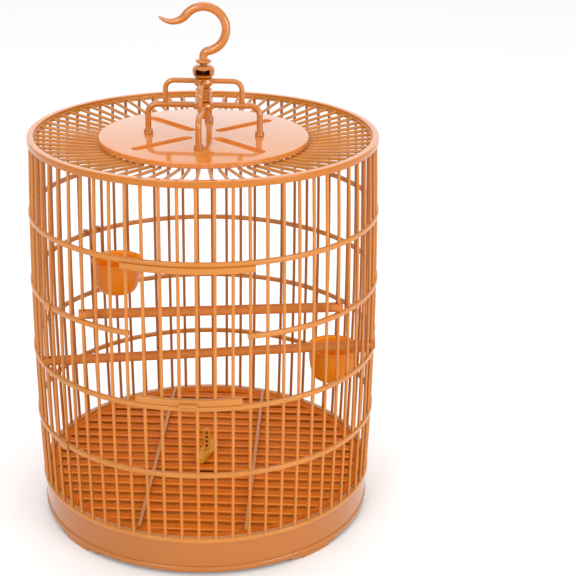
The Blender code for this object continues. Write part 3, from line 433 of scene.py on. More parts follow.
def bar_points(azimuth, low, high, count=9):
    """The gentle barrel curve of a wall bar."""
    points = []
    for number in range(count):
        z = low + (high - low) * number / (count - 1)
        points.append(on_circle(wall_radius(z), azimuth, z))
    return points


def make_wall_bars():
    each = (BAR_COUNT - DOOR_BARS) // PANELS
    for panel in range(PANELS):
        first = DOOR_BARS // 2 + panel * each
        bars = Shape()
        for number in range(first, first + each):
            points = bar_points(bar_azimuth(number), RAIL_TOP - BAR_SINK, RING_LOW.z + BAR_SINK)
            bars.tube(points, BAR_RADIUS)
        place(bars.make(f"bars_{panel + 1}", SHADED_BARS), "cage", "cage", f"wall_panel_{panel + 1}")
    half = DOOR_BARS // 2
    bars = Shape()
    for number in range(-half, half):
        points = bar_points(bar_azimuth(number), RAIL_TOP - BAR_SINK, HOOPS[3][1] - BAR_END_DROP, 5)
        bars.tube(points, BAR_RADIUS)
    place(bars.make("bars_under_door", SHADED_BARS), "cage", "cage", "front_lower_panel")


HOOP_IN = 0.0009            # inside and outside the bar centres
HOOP_OUT = 0.0024
HOOP_ROUND = 0.0009
HOOP_PAST_POST = 0.0025
HOOP_NOTCH_PLAY = 0.0004
CLIP_HALF_LENGTH = 0.0056
CLIP_SINK = 0.0004
CLIP_PROUD = 0.0016
CLIP_MARGIN = 0.0010


def make_hoops():
    door_post = bar_azimuth(DOOR_BARS // 2)
    for number, (low, high) in HOOPS.items():
        middle = (low + high) / 2
        radius = wall_radius(middle)
        profile = rounded_box_outline(radius - HOOP_IN, radius + HOOP_OUT, low, high, HOOP_ROUND)
        hoop = Shape()
        if number == 2:
            over = HOOP_PAST_POST / radius
            hoop.revolve(profile, start=door_post - over, end=2 * math.pi - door_post + over)
        else:
            hoop.revolve(profile)
        obj = hoop.make(f"hoop_{number}_shown", CAGE)
        if number == 1:
            notches = door_bar_tubes(low - CUT_OVERRUN, high + CUT_OVERRUN, BAR_RADIUS + HOOP_NOTCH_PLAY)
            cut(obj, notches, "hoop_1_notches")
        place(obj, "cage", "cage", f"hoop_{number}")


def make_hoop_clips():
    """The overlap plate of each hoop's joint, with its rivet-like boss."""
    for number in (2, 4):
        low, high = HOOPS[number]
        node_low, node_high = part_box(f"hoop_{number}_clip")
        middle = (node_low + node_high) / 2
        azimuth = math.atan2(middle.x, -middle.y)
        radius = wall_radius(middle.z) + HOOP_OUT
        half = CLIP_HALF_LENGTH / radius
        clip = Shape()
        profile = rounded_box_outline(radius - CLIP_SINK, radius + CLIP_PROUD, low - CLIP_MARGIN,
                                      high + CLIP_MARGIN, 0.0006)
        clip.revolve(profile, steps=660, start=azimuth - half, end=azimuth + half)
        boss = Matrix.Translation(on_circle(radius + 0.0013, azimuth, middle.z))
        boss = boss @ Matrix.Rotation(azimuth, 4, "Z") @ Matrix.Rotation(math.pi / 2, 4, "X")
        clip.turned([(0.0, 0.0009), (0.0009, 0.0008), (0.0014, 0.0004), (0.0015, -0.0004), (0.0, -0.0004)],
                    24, boss)
        plate = clip.make(f"hoop_{number}_clip_shown", CAGE, edge=0.0003)
        place(plate, "cage", "cage", f"hoop_{number}_clip")


RAIL_RADIUS = 0.1611
RAIL_WIDTH = 0.0063
RAIL_ROUND = 0.0010


def make_bottom_ring():
    profile = rounded_box_outline(RAIL_RADIUS - RAIL_WIDTH, RAIL_RADIUS, RAIL_LOW, RAIL_TOP, RAIL_ROUND)
    place(Shape().revolve(profile).make("bottom_ring", CAGE), "cage", "cage")


RING_HOLE_PLAY = 0.0005


def make_top_ring():
    """The moulded ring that closes the wall: rounded top, a small step on its outer face."""
    low, high = RING_LOW.z, RING_HIGH.z
    outer, inner = RING_RADIUS, RING_INNER
    profile = arc((outer - 0.0012, high - 0.0012), 0.0012, 0, 90, 6)
    profile += arc((inner + 0.0010, high - 0.0010), 0.0010, 90, 180, 5)
    profile += arc((inner + 0.0006, low + 0.0006), 0.0006, 180, 270, 4)
    profile += arc((outer - 0.0008, low + 0.0006), 0.0006, 270, 360, 4)
    profile += [(outer - 0.0002, low + 0.0016), (outer, low + 0.0022)]
    ring = Shape().revolve(profile).make("top_ring_shown", RING)
    holes = door_bar_tubes(low - CUT_OVERRUN, high + CUT_OVERRUN, BAR_RADIUS + RING_HOLE_PLAY)
    cut(ring, holes, "ring_holes")
    # painted highlight: the ring's top faces get the disc's lighter, glossier finish, so the top reads
    # brighter than the sides
    paint_faces(ring, DISC, lambda at, way: way.z > 0.6)
    place(ring, "cage", "cage", "top_ring")


# Door


DOOR_RAIL_HEIGHT = 0.0062
DOOR_RAIL_OUT = 0.0030      # outside the bar centres
DOOR_RAIL_PLAY = 0.0002
DOOR_RAIL_WIDTH = 0.0052
DOOR_BAR_SINK = 0.003
DOOR_BAR_ABOVE_RING = 0.0004
TAB_HALF_LENGTH = 0.0082
TAB_PROUD = 0.0028
TAB_SINK = 0.0025
TAB_ROUND = 0.0016
LINTEL_BAND = 0.0022
LINTEL_OUT = 0.00185        # from the bar centres to the lintel's inner face
LINTEL_RISE = 0.0007        # closes the gap below hoop 1
LINTEL_PAST_POST = 0.0036
LINTEL_HOOK_START = 0.0019
LINTEL_HOOK_STEPS = 1320


def door_bar_point(number, height):
    base_z = hoop_middle(3)
    base = on_circle(wall_radius(base_z), bar_azimuth(number), base_z)
    return base + DOOR_AXIS * ((height - base_z) / DOOR_AXIS.z)


def door_bar_tubes(low, high, radius):
    half = DOOR_BARS // 2
    tubes = Shape()
    for number in range(-half, half):
        tubes.tube([door_bar_point(number, low), door_bar_point(number, high)], radius, 16)
    return tubes


def make_door():
    """The leaf: six bars on a bottom rail with a finger tab."""
    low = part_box("door")[0].z
    half = DOOR_BARS // 2
    high = low + DOOR_RAIL_HEIGHT
    outer = wall_radius(hoop_middle(3)) + DOOR_RAIL_OUT
    reach = bar_azimuth(half - 1) + BAR_PITCH / 2
    door = Shape()
    for number in range(-half, half):
        top = door_bar_point(number, RING_HIGH.z + DOOR_BAR_ABOVE_RING)
        door.tube([door_bar_point(number, low + DOOR_BAR_SINK), top], BAR_RADIUS)
    leaf = door.make("door_bars", SHADED_BARS)
    rail = Shape()
    profile = rounded_box_outline(outer - DOOR_RAIL_WIDTH, outer - DOOR_RAIL_PLAY, low, high, 0.0011)
    rail.revolve(profile, steps=ARC_STEPS, start=-reach, end=reach)
    tab = Shape()
    outline = rounded_box_outline(-TAB_HALF_LENGTH, TAB_HALF_LENGTH, -outer - TAB_PROUD, -outer + TAB_SINK,
                                  TAB_ROUND)
    tab.prism(outline, low + 0.0001, low + 0.0028)
    place(leaf, "door", "cage", "door")
    place(rail.make("door_rail", CAGE, edge=0.0004), "door", "cage")
    place(tab.make("door_tab", CAGE, edge=0.0007), "door", "cage")


def make_lintel():
    """The rail below hoop 1 in front of the door's bars, with a hooked end on each door post."""
    low, high = [corner.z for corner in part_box("door_lintel")]
    centre = wall_radius(high)
    inner = centre + LINTEL_OUT
    post = bar_azimuth(DOOR_BARS // 2)
    side = LINTEL_PAST_POST / centre
    lintel = Shape()
    profile = rounded_box_outline(inner, inner + LINTEL_BAND, low, high + LINTEL_RISE, 0.0007)
    lintel.revolve(profile, steps=ARC_STEPS, start=-(post + side), end=post + side)
    hook_profile = rounded_box_outline(centre - 0.0015, inner + 0.0010, low + CLEARANCE, high - CLEARANCE,
                                       0.0005)
    for sign in (-1, 1):
        ends = sorted((sign * (post + LINTEL_HOOK_START / centre), sign * (post + side)))
        lintel.revolve(hook_profile, steps=LINTEL_HOOK_STEPS, start=ends[0], end=ends[1])
    place(lintel.make("door_lintel_shown", CAGE, edge=0.0004), "cage", "cage", "door_lintel")


# Roof


ROOF_BAR_FALL = 0.0070
ROOF_BAR_UNDER_DISC = 0.0050
ROOF_BAR_SEAT = 0.0025      # below the disc's underside
ROOF_RIM_WIDTH = 0.0018
ROOF_RIM_IN_RING = 0.0007


def make_roof_grille():
    """Radial bars from under the disc to a rim in the top ring's channel."""
    node_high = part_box("roof_grille")[1]
    rim_outer = RING_INNER + ROOF_RIM_IN_RING
    rim_inner = rim_outer - ROOF_RIM_WIDTH
    inner_z = DISC_LOW.z - ROOF_BAR_SEAT
    outer_z = inner_z + ROOF_BAR_FALL
    start_r = DISC_HIGH.x - ROOF_BAR_UNDER_DISC
    bars = Shape()
    for number in range(BAR_COUNT):
        azimuth = bar_azimuth(number)
        route = [on_circle(start_r, azimuth, inner_z), on_circle(rim_outer - 0.0009, azimuth, outer_z)]
        bars.tube(route, BAR_RADIUS)
    place(bars.make("roof_bars", CAGE), "cage", "cage", "roof_grille")
    rim = Shape()
    profile = rounded_box_outline(rim_inner, rim_outer, RING_LOW.z + 0.0001, node_high.z, 0.0005)
    rim.revolve(profile)
    place(rim.make("roof_rim", CAGE), "cage", "cage")


def pill(start, end, width, count=9):
    """A bar with round ends along X."""
    r = width / 2
    return arc((end - r, 0.0), r, -90, 90, count) + arc((start + r, 0.0), r, 90, 270, count)


DISC_ROUND = 0.0011
GROOVE_START = 0.0150
GROOVE_END = 0.0820
GROOVE_WIDTH = 0.0110
GROOVE_DEPTH = 0.0028
GROOVE_TAPER = 0.0006
SLOT_DEPTH = 0.0012
ABOVE_DISC = 0.0004         # how far the cutters stand out of the disc


def make_roof_disc():
    """A glossy disc with four pressed grooves at 45 degrees to the yoke and a small slot."""
    radius = DISC_HIGH.x
    low = DISC_LOW.z
    edge = arc((radius - DISC_ROUND, DISC_TOP - DISC_ROUND), DISC_ROUND, 0, 90, 6)
    profile = [(0.0, DISC_TOP)] + list(reversed(edge))
    profile += [(radius, low + 0.0006), (radius - 0.0006, low), (0.0, low)]
    disc = Shape().turned(profile, 192).make("roof_disc_shown", DISC)
    grooves = Shape()
    for quarter in range(4):
        turn = Matrix.Rotation(math.radians(45 + 90 * quarter), 4, "Z")
        grooves.prism(pill(GROOVE_START, GROOVE_END, GROOVE_WIDTH), DISC_TOP - GROOVE_DEPTH,
                      DISC_TOP + ABOVE_DISC, turn, taper=GROOVE_TAPER)
    slot = Matrix.Translation((0.0005, -0.0175, 0.0)) @ Matrix.Rotation(math.radians(8), 4, "Z")
    grooves.prism(pill(-0.0018, 0.0018, 0.0012, 5), DISC_TOP - SLOT_DEPTH, DISC_TOP + ABOVE_DISC, slot)
    cut(disc, grooves, "grooves")
    # painted shade: the faces inside the grooves and the slot get the duller groove finish
    paint_faces(disc, GROOVE_SHADE, lambda at, way: at.z < DISC_TOP - 0.0001 and at.xy.length < radius - 0.004
                and at.z > low + 0.001)
    place(disc, "cage", "disc", "roof_disc")


# Yoke, swivel and hook


LOWER_ARCH = DISC_TOP + 0.0274
UPPER_ARCH = DISC_TOP + 0.0496
LEG_OUT = 0.0510
LEG_FOOT = 0.0030           # above the disc
LEG_WIRE = 0.0028
LEG_CORNER = 0.0090
LEG_INNER = 0.0040
UPPER_LEG_OUT = 0.0347
UPPER_LEG_FOOT = 0.0024     # above the lower arch's middle
UPPER_WIRE = 0.0024
UPPER_CORNER = 0.0080
UPPER_INNER = 0.0030
SOCKETS = {"right": (1, 0), "back": (0, 1), "left": (-1, 0), "front": (0, -1)}


def bent_leg(leg_out, foot, arch, corner, inner):
    """A leg's route in its plane: up, round the corner and in to the hub."""
    bend = arc((leg_out - corner, arch - corner), corner, 0, 90, 9)
    upright = [(leg_out, foot), (leg_out, (foot + arch - corner) / 2)]
    return upright + bend + [((inner + leg_out) / 2, arch), (inner, arch)]


def four_legs(route, wire):
    legs = Shape()
    for quarter in range(4):
        turn = Matrix.Rotation(math.pi / 2 * quarter, 4, "Z")
        legs.tube([turn @ Vector((x, 0.0, z)) for x, z in route], wire, 16)
    return legs


def make_yoke():
    """Two crossed frames of bent wire with their hubs, and the sockets of the lower one."""
    lower = bent_leg(LEG_OUT, DISC_TOP + LEG_FOOT, LOWER_ARCH, LEG_CORNER, LEG_INNER)
    legs = four_legs(lower, LEG_WIRE)
    hub = [(0.0, 0.0032), (0.0080, 0.0032), (0.0098, 0.0026), (0.0104, 0.0014), (0.0104, -0.0014),
           (0.0098, -0.0026), (0.0080, -0.0032), (0.0060, -0.0033), (0.0059, -0.0043), (0.0052, -0.0045),
           (0.0042, -0.0047), (0.0041, -0.0118), (0.0036, -0.0124), (0.0, -0.0124)]
    legs.turned(hub, 48, Matrix.Translation((0, 0, LOWER_ARCH)))
    place(legs.make("yoke_lower", YOKE), "cage", "cage", "yoke_lower_arms")

    upper = bent_leg(UPPER_LEG_OUT, LOWER_ARCH + UPPER_LEG_FOOT, UPPER_ARCH, UPPER_CORNER, UPPER_INNER)
    arms = four_legs(upper, UPPER_WIRE)
    hub = [(0.0, 0.0029), (0.0080, 0.0029), (0.0094, 0.0022), (0.0097, 0.0010), (0.0097, -0.0014),
           (0.0090, -0.0022), (0.0070, -0.0044), (0.0058, -0.0057), (0.0, -0.0057)]
    arms.turned(hub, 48, Matrix.Translation((0, 0, UPPER_ARCH)))
    place(arms.make("yoke_upper", YOKE), "cage", "cage", "yoke_upper_arms")

    profile = [(0.0, 0.0042), (0.0038, 0.0042), (0.0042, 0.0038), (0.0042, 0.0009), (0.0044, 0.0004),
               (0.0043, 0.0003), (0.0, 0.0003)]
    for side, (x, y) in SOCKETS.items():
        at = Matrix.Translation((x * LEG_OUT, y * LEG_OUT, DISC_TOP))
        socket = Shape().turned(profile, 32, at).make(f"socket_{side}", YOKE)
        place(socket, "cage", "cage", f"yoke_socket_{side}")


SPINDLE_RIBS = 4
SPINDLE_END = 0.0054
SPINDLE_VALLEY = 0.0057
SPINDLE_RIB = 0.0018
RIB_TURNS = (1.4, 1.0, 0.5, 0.0, -0.5, -1.0, -1.4)


def make_spindle():
    """The ribbed column between the two arches."""
    low, high = [corner.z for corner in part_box("yoke_spindle")]
    pitch = (high - low) / SPINDLE_RIBS
    profile = [(0.0, high), (SPINDLE_END, high)]
    for rib in range(SPINDLE_RIBS):
        centre = high - pitch * (rib + 0.5)
        profile += [(SPINDLE_VALLEY, centre + pitch * 0.42)]
        profile += [(SPINDLE_VALLEY + SPINDLE_RIB * math.cos(t), centre + pitch * 0.33 * math.sin(t))
                    for t in RIB_TURNS]
        profile += [(SPINDLE_VALLEY, centre - pitch * 0.42)]
    profile += [(SPINDLE_END, low), (0.0, low)]
    place(Shape().turned(profile, 48).make("spindle_shown", YOKE), "cage", "cage", "yoke_spindle")


BEAD_CORE = 0.0036          # radius that the bead's swell stands on
BEAD_SWELL = 0.0066
BEAD_END = 62               # degrees from the bead's middle to its ends
BEAD_WALL = 0.0022
BEAD_HOLLOW = 0.0076
BEAD_BORE = 0.0037
WINDOW_HALF_WIDTH = 0.0066
WINDOW_HALF_HEIGHT = 0.0026


def make_swivel():
    """The hollow bead: round outside, a window in front whose inside is painted dark as shade."""
    low, high = [corner.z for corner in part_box("swivel_housing")]
    height = high - low
    middle = (low + high) / 2
    outer = []
    for number in range(13):
        t = math.radians(BEAD_END - 2 * BEAD_END * number / 12)
        rise = math.sin(t) / math.sin(math.radians(BEAD_END))
        outer.append((BEAD_CORE + BEAD_SWELL * math.cos(t) ** 0.8, middle + (height / 2 - 0.0002) * rise))
    profile = [(0.0, high), (0.0058, high)] + outer + [(0.0058, low), (0.0, low)]
    bead = Shape().turned(profile, 64).make("swivel_shown", YOKE)
    inside = Shape()
    inside.turned([(0.0, high - BEAD_WALL), (0.0070, high - BEAD_WALL), (BEAD_HOLLOW, high - 0.0034),
                   (BEAD_HOLLOW, low + 0.0030), (0.0070, low + BEAD_WALL), (0.0, low + BEAD_WALL)], 48)
    cut(bead, inside, "bead_hollow")
    above = high + CUT_OVERRUN
    bore = Shape().turned([(0.0, above), (BEAD_BORE, above), (BEAD_BORE, middle), (0.0, middle)], 32)
    cut(bead, bore, "bead_bore")
    window = Shape()
    outline = rounded_box_outline(-WINDOW_HALF_WIDTH, WINDOW_HALF_WIDTH, -WINDOW_HALF_HEIGHT,
                                  WINDOW_HALF_HEIGHT, 0.0009)
    upright = Matrix.Translation((0.0, 0.0, middle)) @ Matrix.Rotation(math.pi / 2, 4, "X")
    window.prism(outline, 0.0040, 0.0130, upright)
    cut(bead, window, "bead_windows")
    # painted shade: the bead's inside faces are painted dark
    paint_faces(bead, HOLLOW_SHADE, lambda at, way: at.xy.length < BEAD_HOLLOW + 0.0003
                and low + 0.0012 < at.z < high - 0.0012)
    place(bead, "cage", "cage", "swivel_housing")


COLLAR_ABOVE_BEAD = 0.0022
COLLAR_HEIGHT = 0.0031
PIN_REACH = 0.0047          # from the collar down to the pin's head
HOOK_STEM = 0.0022
HOOK_BEND = 0.0055          # radii of the small bend, the large arc and the lip
HOOK_ARC = 0.0199
HOOK_LIP = 0.0165
HOOK_OFFSET = 0.0006
HOOK_STEM_WIRE = 0.0038
HOOK_WIRE_GROWTH = 0.0002   # over the first points above the stem
HOOK_WIRE = 0.0040
HOOK_TIP = 0.0006
LIP_START = 142.0           # degrees
LIP_TURN = 96
LIP_POINTS = 18


def make_hook():
    """Collar and hook: small bend, large arc, upturned tapering lip."""
    collar_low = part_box("swivel_housing")[1].z + COLLAR_ABOVE_BEAD
    collar_high = collar_low + COLLAR_HEIGHT
    head = collar_low - PIN_REACH
    collar = [(0.0, collar_high + 0.0004), (0.0045, collar_high + 0.0003), (0.0064, collar_high - 0.0003),
              (0.0073, collar_high - 0.0012), (0.0073, collar_low + 0.0010), (0.0062, collar_low),
              (0.0036, collar_low - 0.0002), (0.0032, collar_low - 0.0008), (0.0032, head), (0.0057, head),
              (0.0057, head - 0.0019), (0.0, head - 0.0019)]
    hook = Shape().turned(collar, 40)
    bend_z = collar_high + HOOK_STEM
    rise = math.sqrt((HOOK_ARC + HOOK_BEND) ** 2 - (HOOK_BEND - HOOK_OFFSET) ** 2)
    main = Vector((HOOK_OFFSET, bend_z + rise))
    meet = math.degrees(math.atan2(main.y - bend_z, main.x - HOOK_BEND))
    route = [(0.0, collar_high - 0.0010)] + arc((HOOK_BEND, bend_z), HOOK_BEND, 180, meet, 9)
    route += arc(main, HOOK_ARC, meet - 180, LIP_START, 40)[1:]
    span = HOOK_ARC + HOOK_LIP
    start = math.radians(LIP_START)
    lip = (main.x + span * math.cos(start), main.y + span * math.sin(start))
    route += arc(lip, HOOK_LIP, LIP_START - 180, LIP_START - 180 - LIP_TURN, LIP_POINTS)[1:]
    plain = len(route) - LIP_POINTS + 1
    radii = [HOOK_STEM_WIRE + HOOK_WIRE_GROWTH * min(1.0, number / 8) for number in range(plain)]
    for number in range(1, LIP_POINTS):
        share = number / (LIP_POINTS - 1)
        radii.append(HOOK_WIRE * (1 - share) ** 0.60 * (1 - 0.1 * share) + HOOK_TIP * share)
    hook.tube([(x, 0.0, z) for x, z in route], radii, 24)
    place(hook.make("hook_shown", YOKE), "hook", "cage", "hook")
    pin = Shape().turned([(0.0, head - 0.0016), (0.0013, head - 0.0017), (0.0013, head - 0.0056),
                          (0.0009, head - 0.0061), (0.0, head - 0.0062)], 24)
    place(pin.make("hook_pin", PIN), "hook", "cage")


# Base


SKIRT_RADIUS = 0.1590
SKIRT_WALL = 0.0022
LEDGE_WIDTH = 0.0068
LEDGE_DROP = 0.0027
FOOT_OUT = 0.1595
FOOT_WIDTH = 0.0028
FOOT_TOP = 0.0042
FOOT_SHELF = 0.0022
FOOT_HALF_SPAN = math.radians(10.5)
FOOT_STEP_SPAN = math.radians(4.5)
FEET = {"front_right": 45, "back_right": 135, "back_left": 225, "front_left": 315}


def make_skirt():
    """The glossy band, with a bead at its foot and the ledge that the grate lies on."""
    low, high = SKIRT_LOW.z, SKIRT_HIGH.z
    radius = SKIRT_RADIUS
    wall = radius - SKIRT_WALL
    ledge = wall - LEDGE_WIDTH
    profile = [(radius - 0.0006, high), (radius, high - 0.0006), (radius - 0.0001, low + 0.0057),
               (radius - 0.0004, low + 0.0054), (radius - 0.0004, low + 0.0051),
               (radius + 0.0003, low + 0.0049), (radius + 0.0008, low + 0.0043),
               (radius + 0.0010, low + 0.0012), (radius + 0.0007, low), (wall, low),
               (wall, high - LEDGE_DROP), (ledge, high - LEDGE_DROP), (ledge, high)]
    place(Shape().revolve(profile).make("skirt_shown", SKIRT), "cage", "skirt", "base_skirt")


def make_feet():
    """Low curved feet: a shelf under the skirt and a shorter pad on the ground."""
    inner = FOOT_OUT - FOOT_WIDTH
    shelf = rounded_box_outline(inner, FOOT_OUT, FOOT_TOP - FOOT_SHELF, FOOT_TOP, 0.0005)
    pad = rounded_box_outline(inner, FOOT_OUT, 0.0, FOOT_TOP - 0.0008, 0.0005)
    pad_half = FOOT_HALF_SPAN - FOOT_STEP_SPAN
    for name, azimuth in FEET.items():
        centre = math.radians(azimuth)
        foot = Shape()
        foot.revolve(shelf, ARC_STEPS, centre - FOOT_HALF_SPAN, centre + FOOT_HALF_SPAN)
        foot.revolve(pad, ARC_STEPS, centre - pad_half, centre + pad_half)
        place(foot.make(f"foot_{name}_shown", SKIRT, edge=0.0003), "cage", "skirt", f"foot_{name}")


SLAT_PITCH = 0.0161
SLAT_WIDTH = 0.0092
SLATS = 18
SLAT_INTO_RIM = 0.0030
SLAT_EDGE = 0.0010
GRATE_RIM_WIDTH = 0.0072
HUB_RADIUS = 0.0124
HUB_HEIGHT = 0.0032


def make_floor():
    low, high = GRATE_LOW.z, GRATE_HIGH.z
    outer = GRATE_HIGH.x
    inner = outer - GRATE_RIM_WIDTH
    rim = rounded_box_outline(inner, outer, low, high, 0.0008)
    place(Shape().revolve(rim).make("floor_rim", FLOOR), "cage", "floor", "floor_grate")
    slats = Shape()
    reach = inner + SLAT_INTO_RIM
    last = reach - CLEARANCE
    for number in range(SLATS):
        y = (number - (SLATS - 1) / 2) * SLAT_PITCH
        edges = [max(-last, min(last, y + side * SLAT_WIDTH / 2)) for side in (-1, 1)]
        ends = [math.sqrt(reach ** 2 - edge ** 2) for edge in edges]
        outline = [(-ends[0], edges[0]), (ends[0], edges[0]), (ends[1], edges[1]), (-ends[1], edges[1])]
        slats.prism(outline, low + CLEARANCE, high - CLEARANCE)
    deck = slats.make("floor_slats", FLOOR, edge=SLAT_EDGE)
    apply_modifiers(deck)
    # painted highlight: the slats' rounded edges are painted lighter
    paint_faces(deck, FLOOR_EDGE_HIGHLIGHT, lambda at, way: 0.3 < way.z < 0.97)
    place(deck, "cage", "floor")
    hub = Shape()
    hub.turned([(0.0, high - 0.0002), (0.0118, high - 0.0002), (HUB_RADIUS, high - 0.0008),
                (HUB_RADIUS, high - HUB_HEIGHT), (0.0, high - HUB_HEIGHT)], 48)
    place(hub.make("floor_hub", FLOOR), "cage", "floor")
    for side in ("left", "right"):
        rib_low, rib_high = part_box(f"floor_rib_{side}")
        rib = Shape().block(rib_low, rib_high)
        place(rib.make(f"rib_{side}_shown", CAGE, edge=0.0006), "cage", "cage", f"floor_rib_{side}")


KEY_TURN = math.radians(72.0)
KEY_HALF_LENGTH = 0.0210
KEY_HALF_WIDTH = 0.0045
KEY_ROUND = 0.0030
KEY_HEIGHT = 0.0060
KEY_BOSS = 0.0068
SHAFT_RADIUS = 0.0034
LATCH_FOOT = 0.0044
GRIP_HOLES = 4
GRIP_PITCHES = 4.6          # hole pitches in the grip's height
GRIP_FIRST_HOLE = 0.8       # pitches up to the first
GRIP_WEB = 0.0003           # half of what is left between the holes from both sides
GRIP_HOLE_HALF_WIDTH = 0.0014
GRIP_HOLE_HALF_HEIGHT = 0.0016


def make_latch():
    """The turning key on the floor, and its ladder-shaped grip with four blind holes on each side."""
    key_low, key_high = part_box("latch_key")
    stem_low, stem_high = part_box("latch_stem")
    top = key_high.z
    turn = Matrix.Rotation(KEY_TURN, 4, "Z")
    key = Shape()
    outline = rounded_box_outline(-KEY_HALF_LENGTH, KEY_HALF_LENGTH, -KEY_HALF_WIDTH, KEY_HALF_WIDTH,
                                  KEY_ROUND, 7)
    key.prism(outline, top - KEY_HEIGHT, top - 0.0002, turn)
    key.turned([(0.0, top - 0.001), (SHAFT_RADIUS, top - 0.001), (SHAFT_RADIUS, key_low.z + 0.002),
                (LATCH_FOOT, key_low.z + 0.0018), (LATCH_FOOT, key_low.z), (0.0, key_low.z)], 32)
    key.turned([(0.0, top), (0.0062, top), (KEY_BOSS, top - 0.0006), (KEY_BOSS, top - 0.003),
                (0.0, top - 0.003)], 32)
    place(key.make("latch_key_shown", LATCH, edge=0.0007), "floor_latch", "latch", "latch_key")

    half = stem_high.x
    height = stem_high.z - stem_low.z
    outline = [(-half, 0.0), (half, 0.0)] + arc((0.0, height - half), half, 0, 180, 13)
    thick = stem_high.y
    upright = Matrix.Translation((0.0, 0.0, stem_low.z)) @ Matrix.Rotation(math.pi / 2, 4, "X")
    stem = Shape().prism(outline, -thick, thick, upright).make("latch_stem_shown", LATCH)
    pitch = height / GRIP_PITCHES
    for deep in (-1, 1):
        holes = Shape()
        ends = sorted((deep * GRIP_WEB, deep * 0.0040))
        for number in range(GRIP_HOLES):
            z = pitch * (number + GRIP_FIRST_HOLE)
            outline = rounded_box_outline(-GRIP_HOLE_HALF_WIDTH, GRIP_HOLE_HALF_WIDTH,
                                          z - GRIP_HOLE_HALF_HEIGHT, z + GRIP_HOLE_HALF_HEIGHT, 0.0007)
            holes.prism(outline, *ends, upright)
        cut(stem, holes, f"stem_holes_{deep}")
    # painted shade: the holes' inner faces are painted dark
    paint_faces(stem, HOLLOW_SHADE, lambda at, way: abs(at.x) < half - 0.0015 and abs(at.y) < thick - 0.0001
                and stem_low.z + 0.001 < at.z < stem_high.z - 0.0015)
    place(stem, "floor_latch", "latch", "latch_stem")


TRAY_WALL = 0.0018
TRAY_CORNER = 0.0060
TRAY_EDGE = 0.0003
TRAY_PEAK_RADIUS = 0.0450
TRAY_PEAK_HEIGHT = 0.0035
TRAY_HOLE_HALF = 0.0080
PRESSES = 8
PRESS_START = 0.0680
PRESS_END = 0.1180
PRESS_WIDTH = 0.0165
CREASE_RADII = (0.0118, 0.0300, 0.0450, 0.0580)
CREASE_WIRE = 0.0006


def make_tray():
    """The drop-out pan: raised middle with four creases, eight pressed pills, a square hole."""
    low, high = TRAY_LOW.z, TRAY_HIGH.z
    outer = TRAY_HIGH.x
    inner = outer - TRAY_WALL
    floor = low + TRAY_WALL
    bend = (outer - TRAY_CORNER, low + TRAY_CORNER)
    profile = [(0.0, low + TRAY_PEAK_HEIGHT), (TRAY_PEAK_RADIUS, low)]
    profile += arc(bend, TRAY_CORNER, -90, 0, 7)
    profile += [(outer, high - TRAY_EDGE), (outer - TRAY_EDGE, high), (inner + TRAY_EDGE, high),
                (inner, high - TRAY_EDGE)]
    profile += list(reversed(arc(bend, TRAY_CORNER - TRAY_WALL, -90, 0, 7)))
    profile += [(TRAY_PEAK_RADIUS, floor), (0.0, floor + TRAY_PEAK_HEIGHT)]
    tray = Shape().turned(profile, 144).make("tray_shown", TRAY)
    half = TRAY_HOLE_HALF
    cut(tray, Shape().block((-half, -half, low - 0.005), (half, half, high)), "tray_hole")
    place(tray, "tray", "tray", "tray")
    presses = Shape()
    for number in range(PRESSES):
        turn = Matrix.Rotation(math.radians(22.5 + 45 * number), 4, "Z")
        outline = pill(PRESS_START, PRESS_END, PRESS_WIDTH, 11)
        presses.prism(outline, low + 0.0005, low - 0.0012, turn, taper=-0.0014)
    for quarter in range(4):
        turn = Matrix.Rotation(math.radians(45 + 90 * quarter), 4, "Z")
        route = []
        for r in CREASE_RADII:
            rise = TRAY_PEAK_HEIGHT * max(0.0, 1 - r / TRAY_PEAK_RADIUS)
            route.append(turn @ Vector((r, 0.0, low + rise + 0.0001)))
        presses.tube(route, CREASE_WIRE, 8)
    place(presses.make("tray_presses", TRAY, edge=0.0005), "tray", "tray")


# Cups and perches


CUP_OUT = WALL_RADIUS - 0.0350
CUP_BELOW_HOOP = 0.0224
CUP_LIP = 0.0259
CUP_RADIUS = 0.0243
CUP_BOTTOM_RADIUS = 0.0124
CUP_DEPTH = 0.0345
CUP_NECK = 0.0030           # below the rim, where the wall starts
CUP_WALL = 0.0014
CUP_STEPS = 16
CUP_HOOK_HALF_WIDTH = 0.0014
CUP_HOOK_THICK = 0.0016
CUP_HOOK_ROUND = 0.0008
CUP_HOOK_IN = 0.0036        # inside and outside the bar centres
CUP_HOOK_OUT = 0.00345
CUP_HOOK_PLAY = 0.0004
CUP_HOOK_DROP = 0.0064
CUP_HOOK_FOOT = 0.0040
# Azimuth in bar pitches, the hoop it hangs on, and the nub's turn in degrees
CUP_PLACES = {"cup_left": (-23.72, 2, 4.5), "cup_right": (18.72, 3, -31.0)}


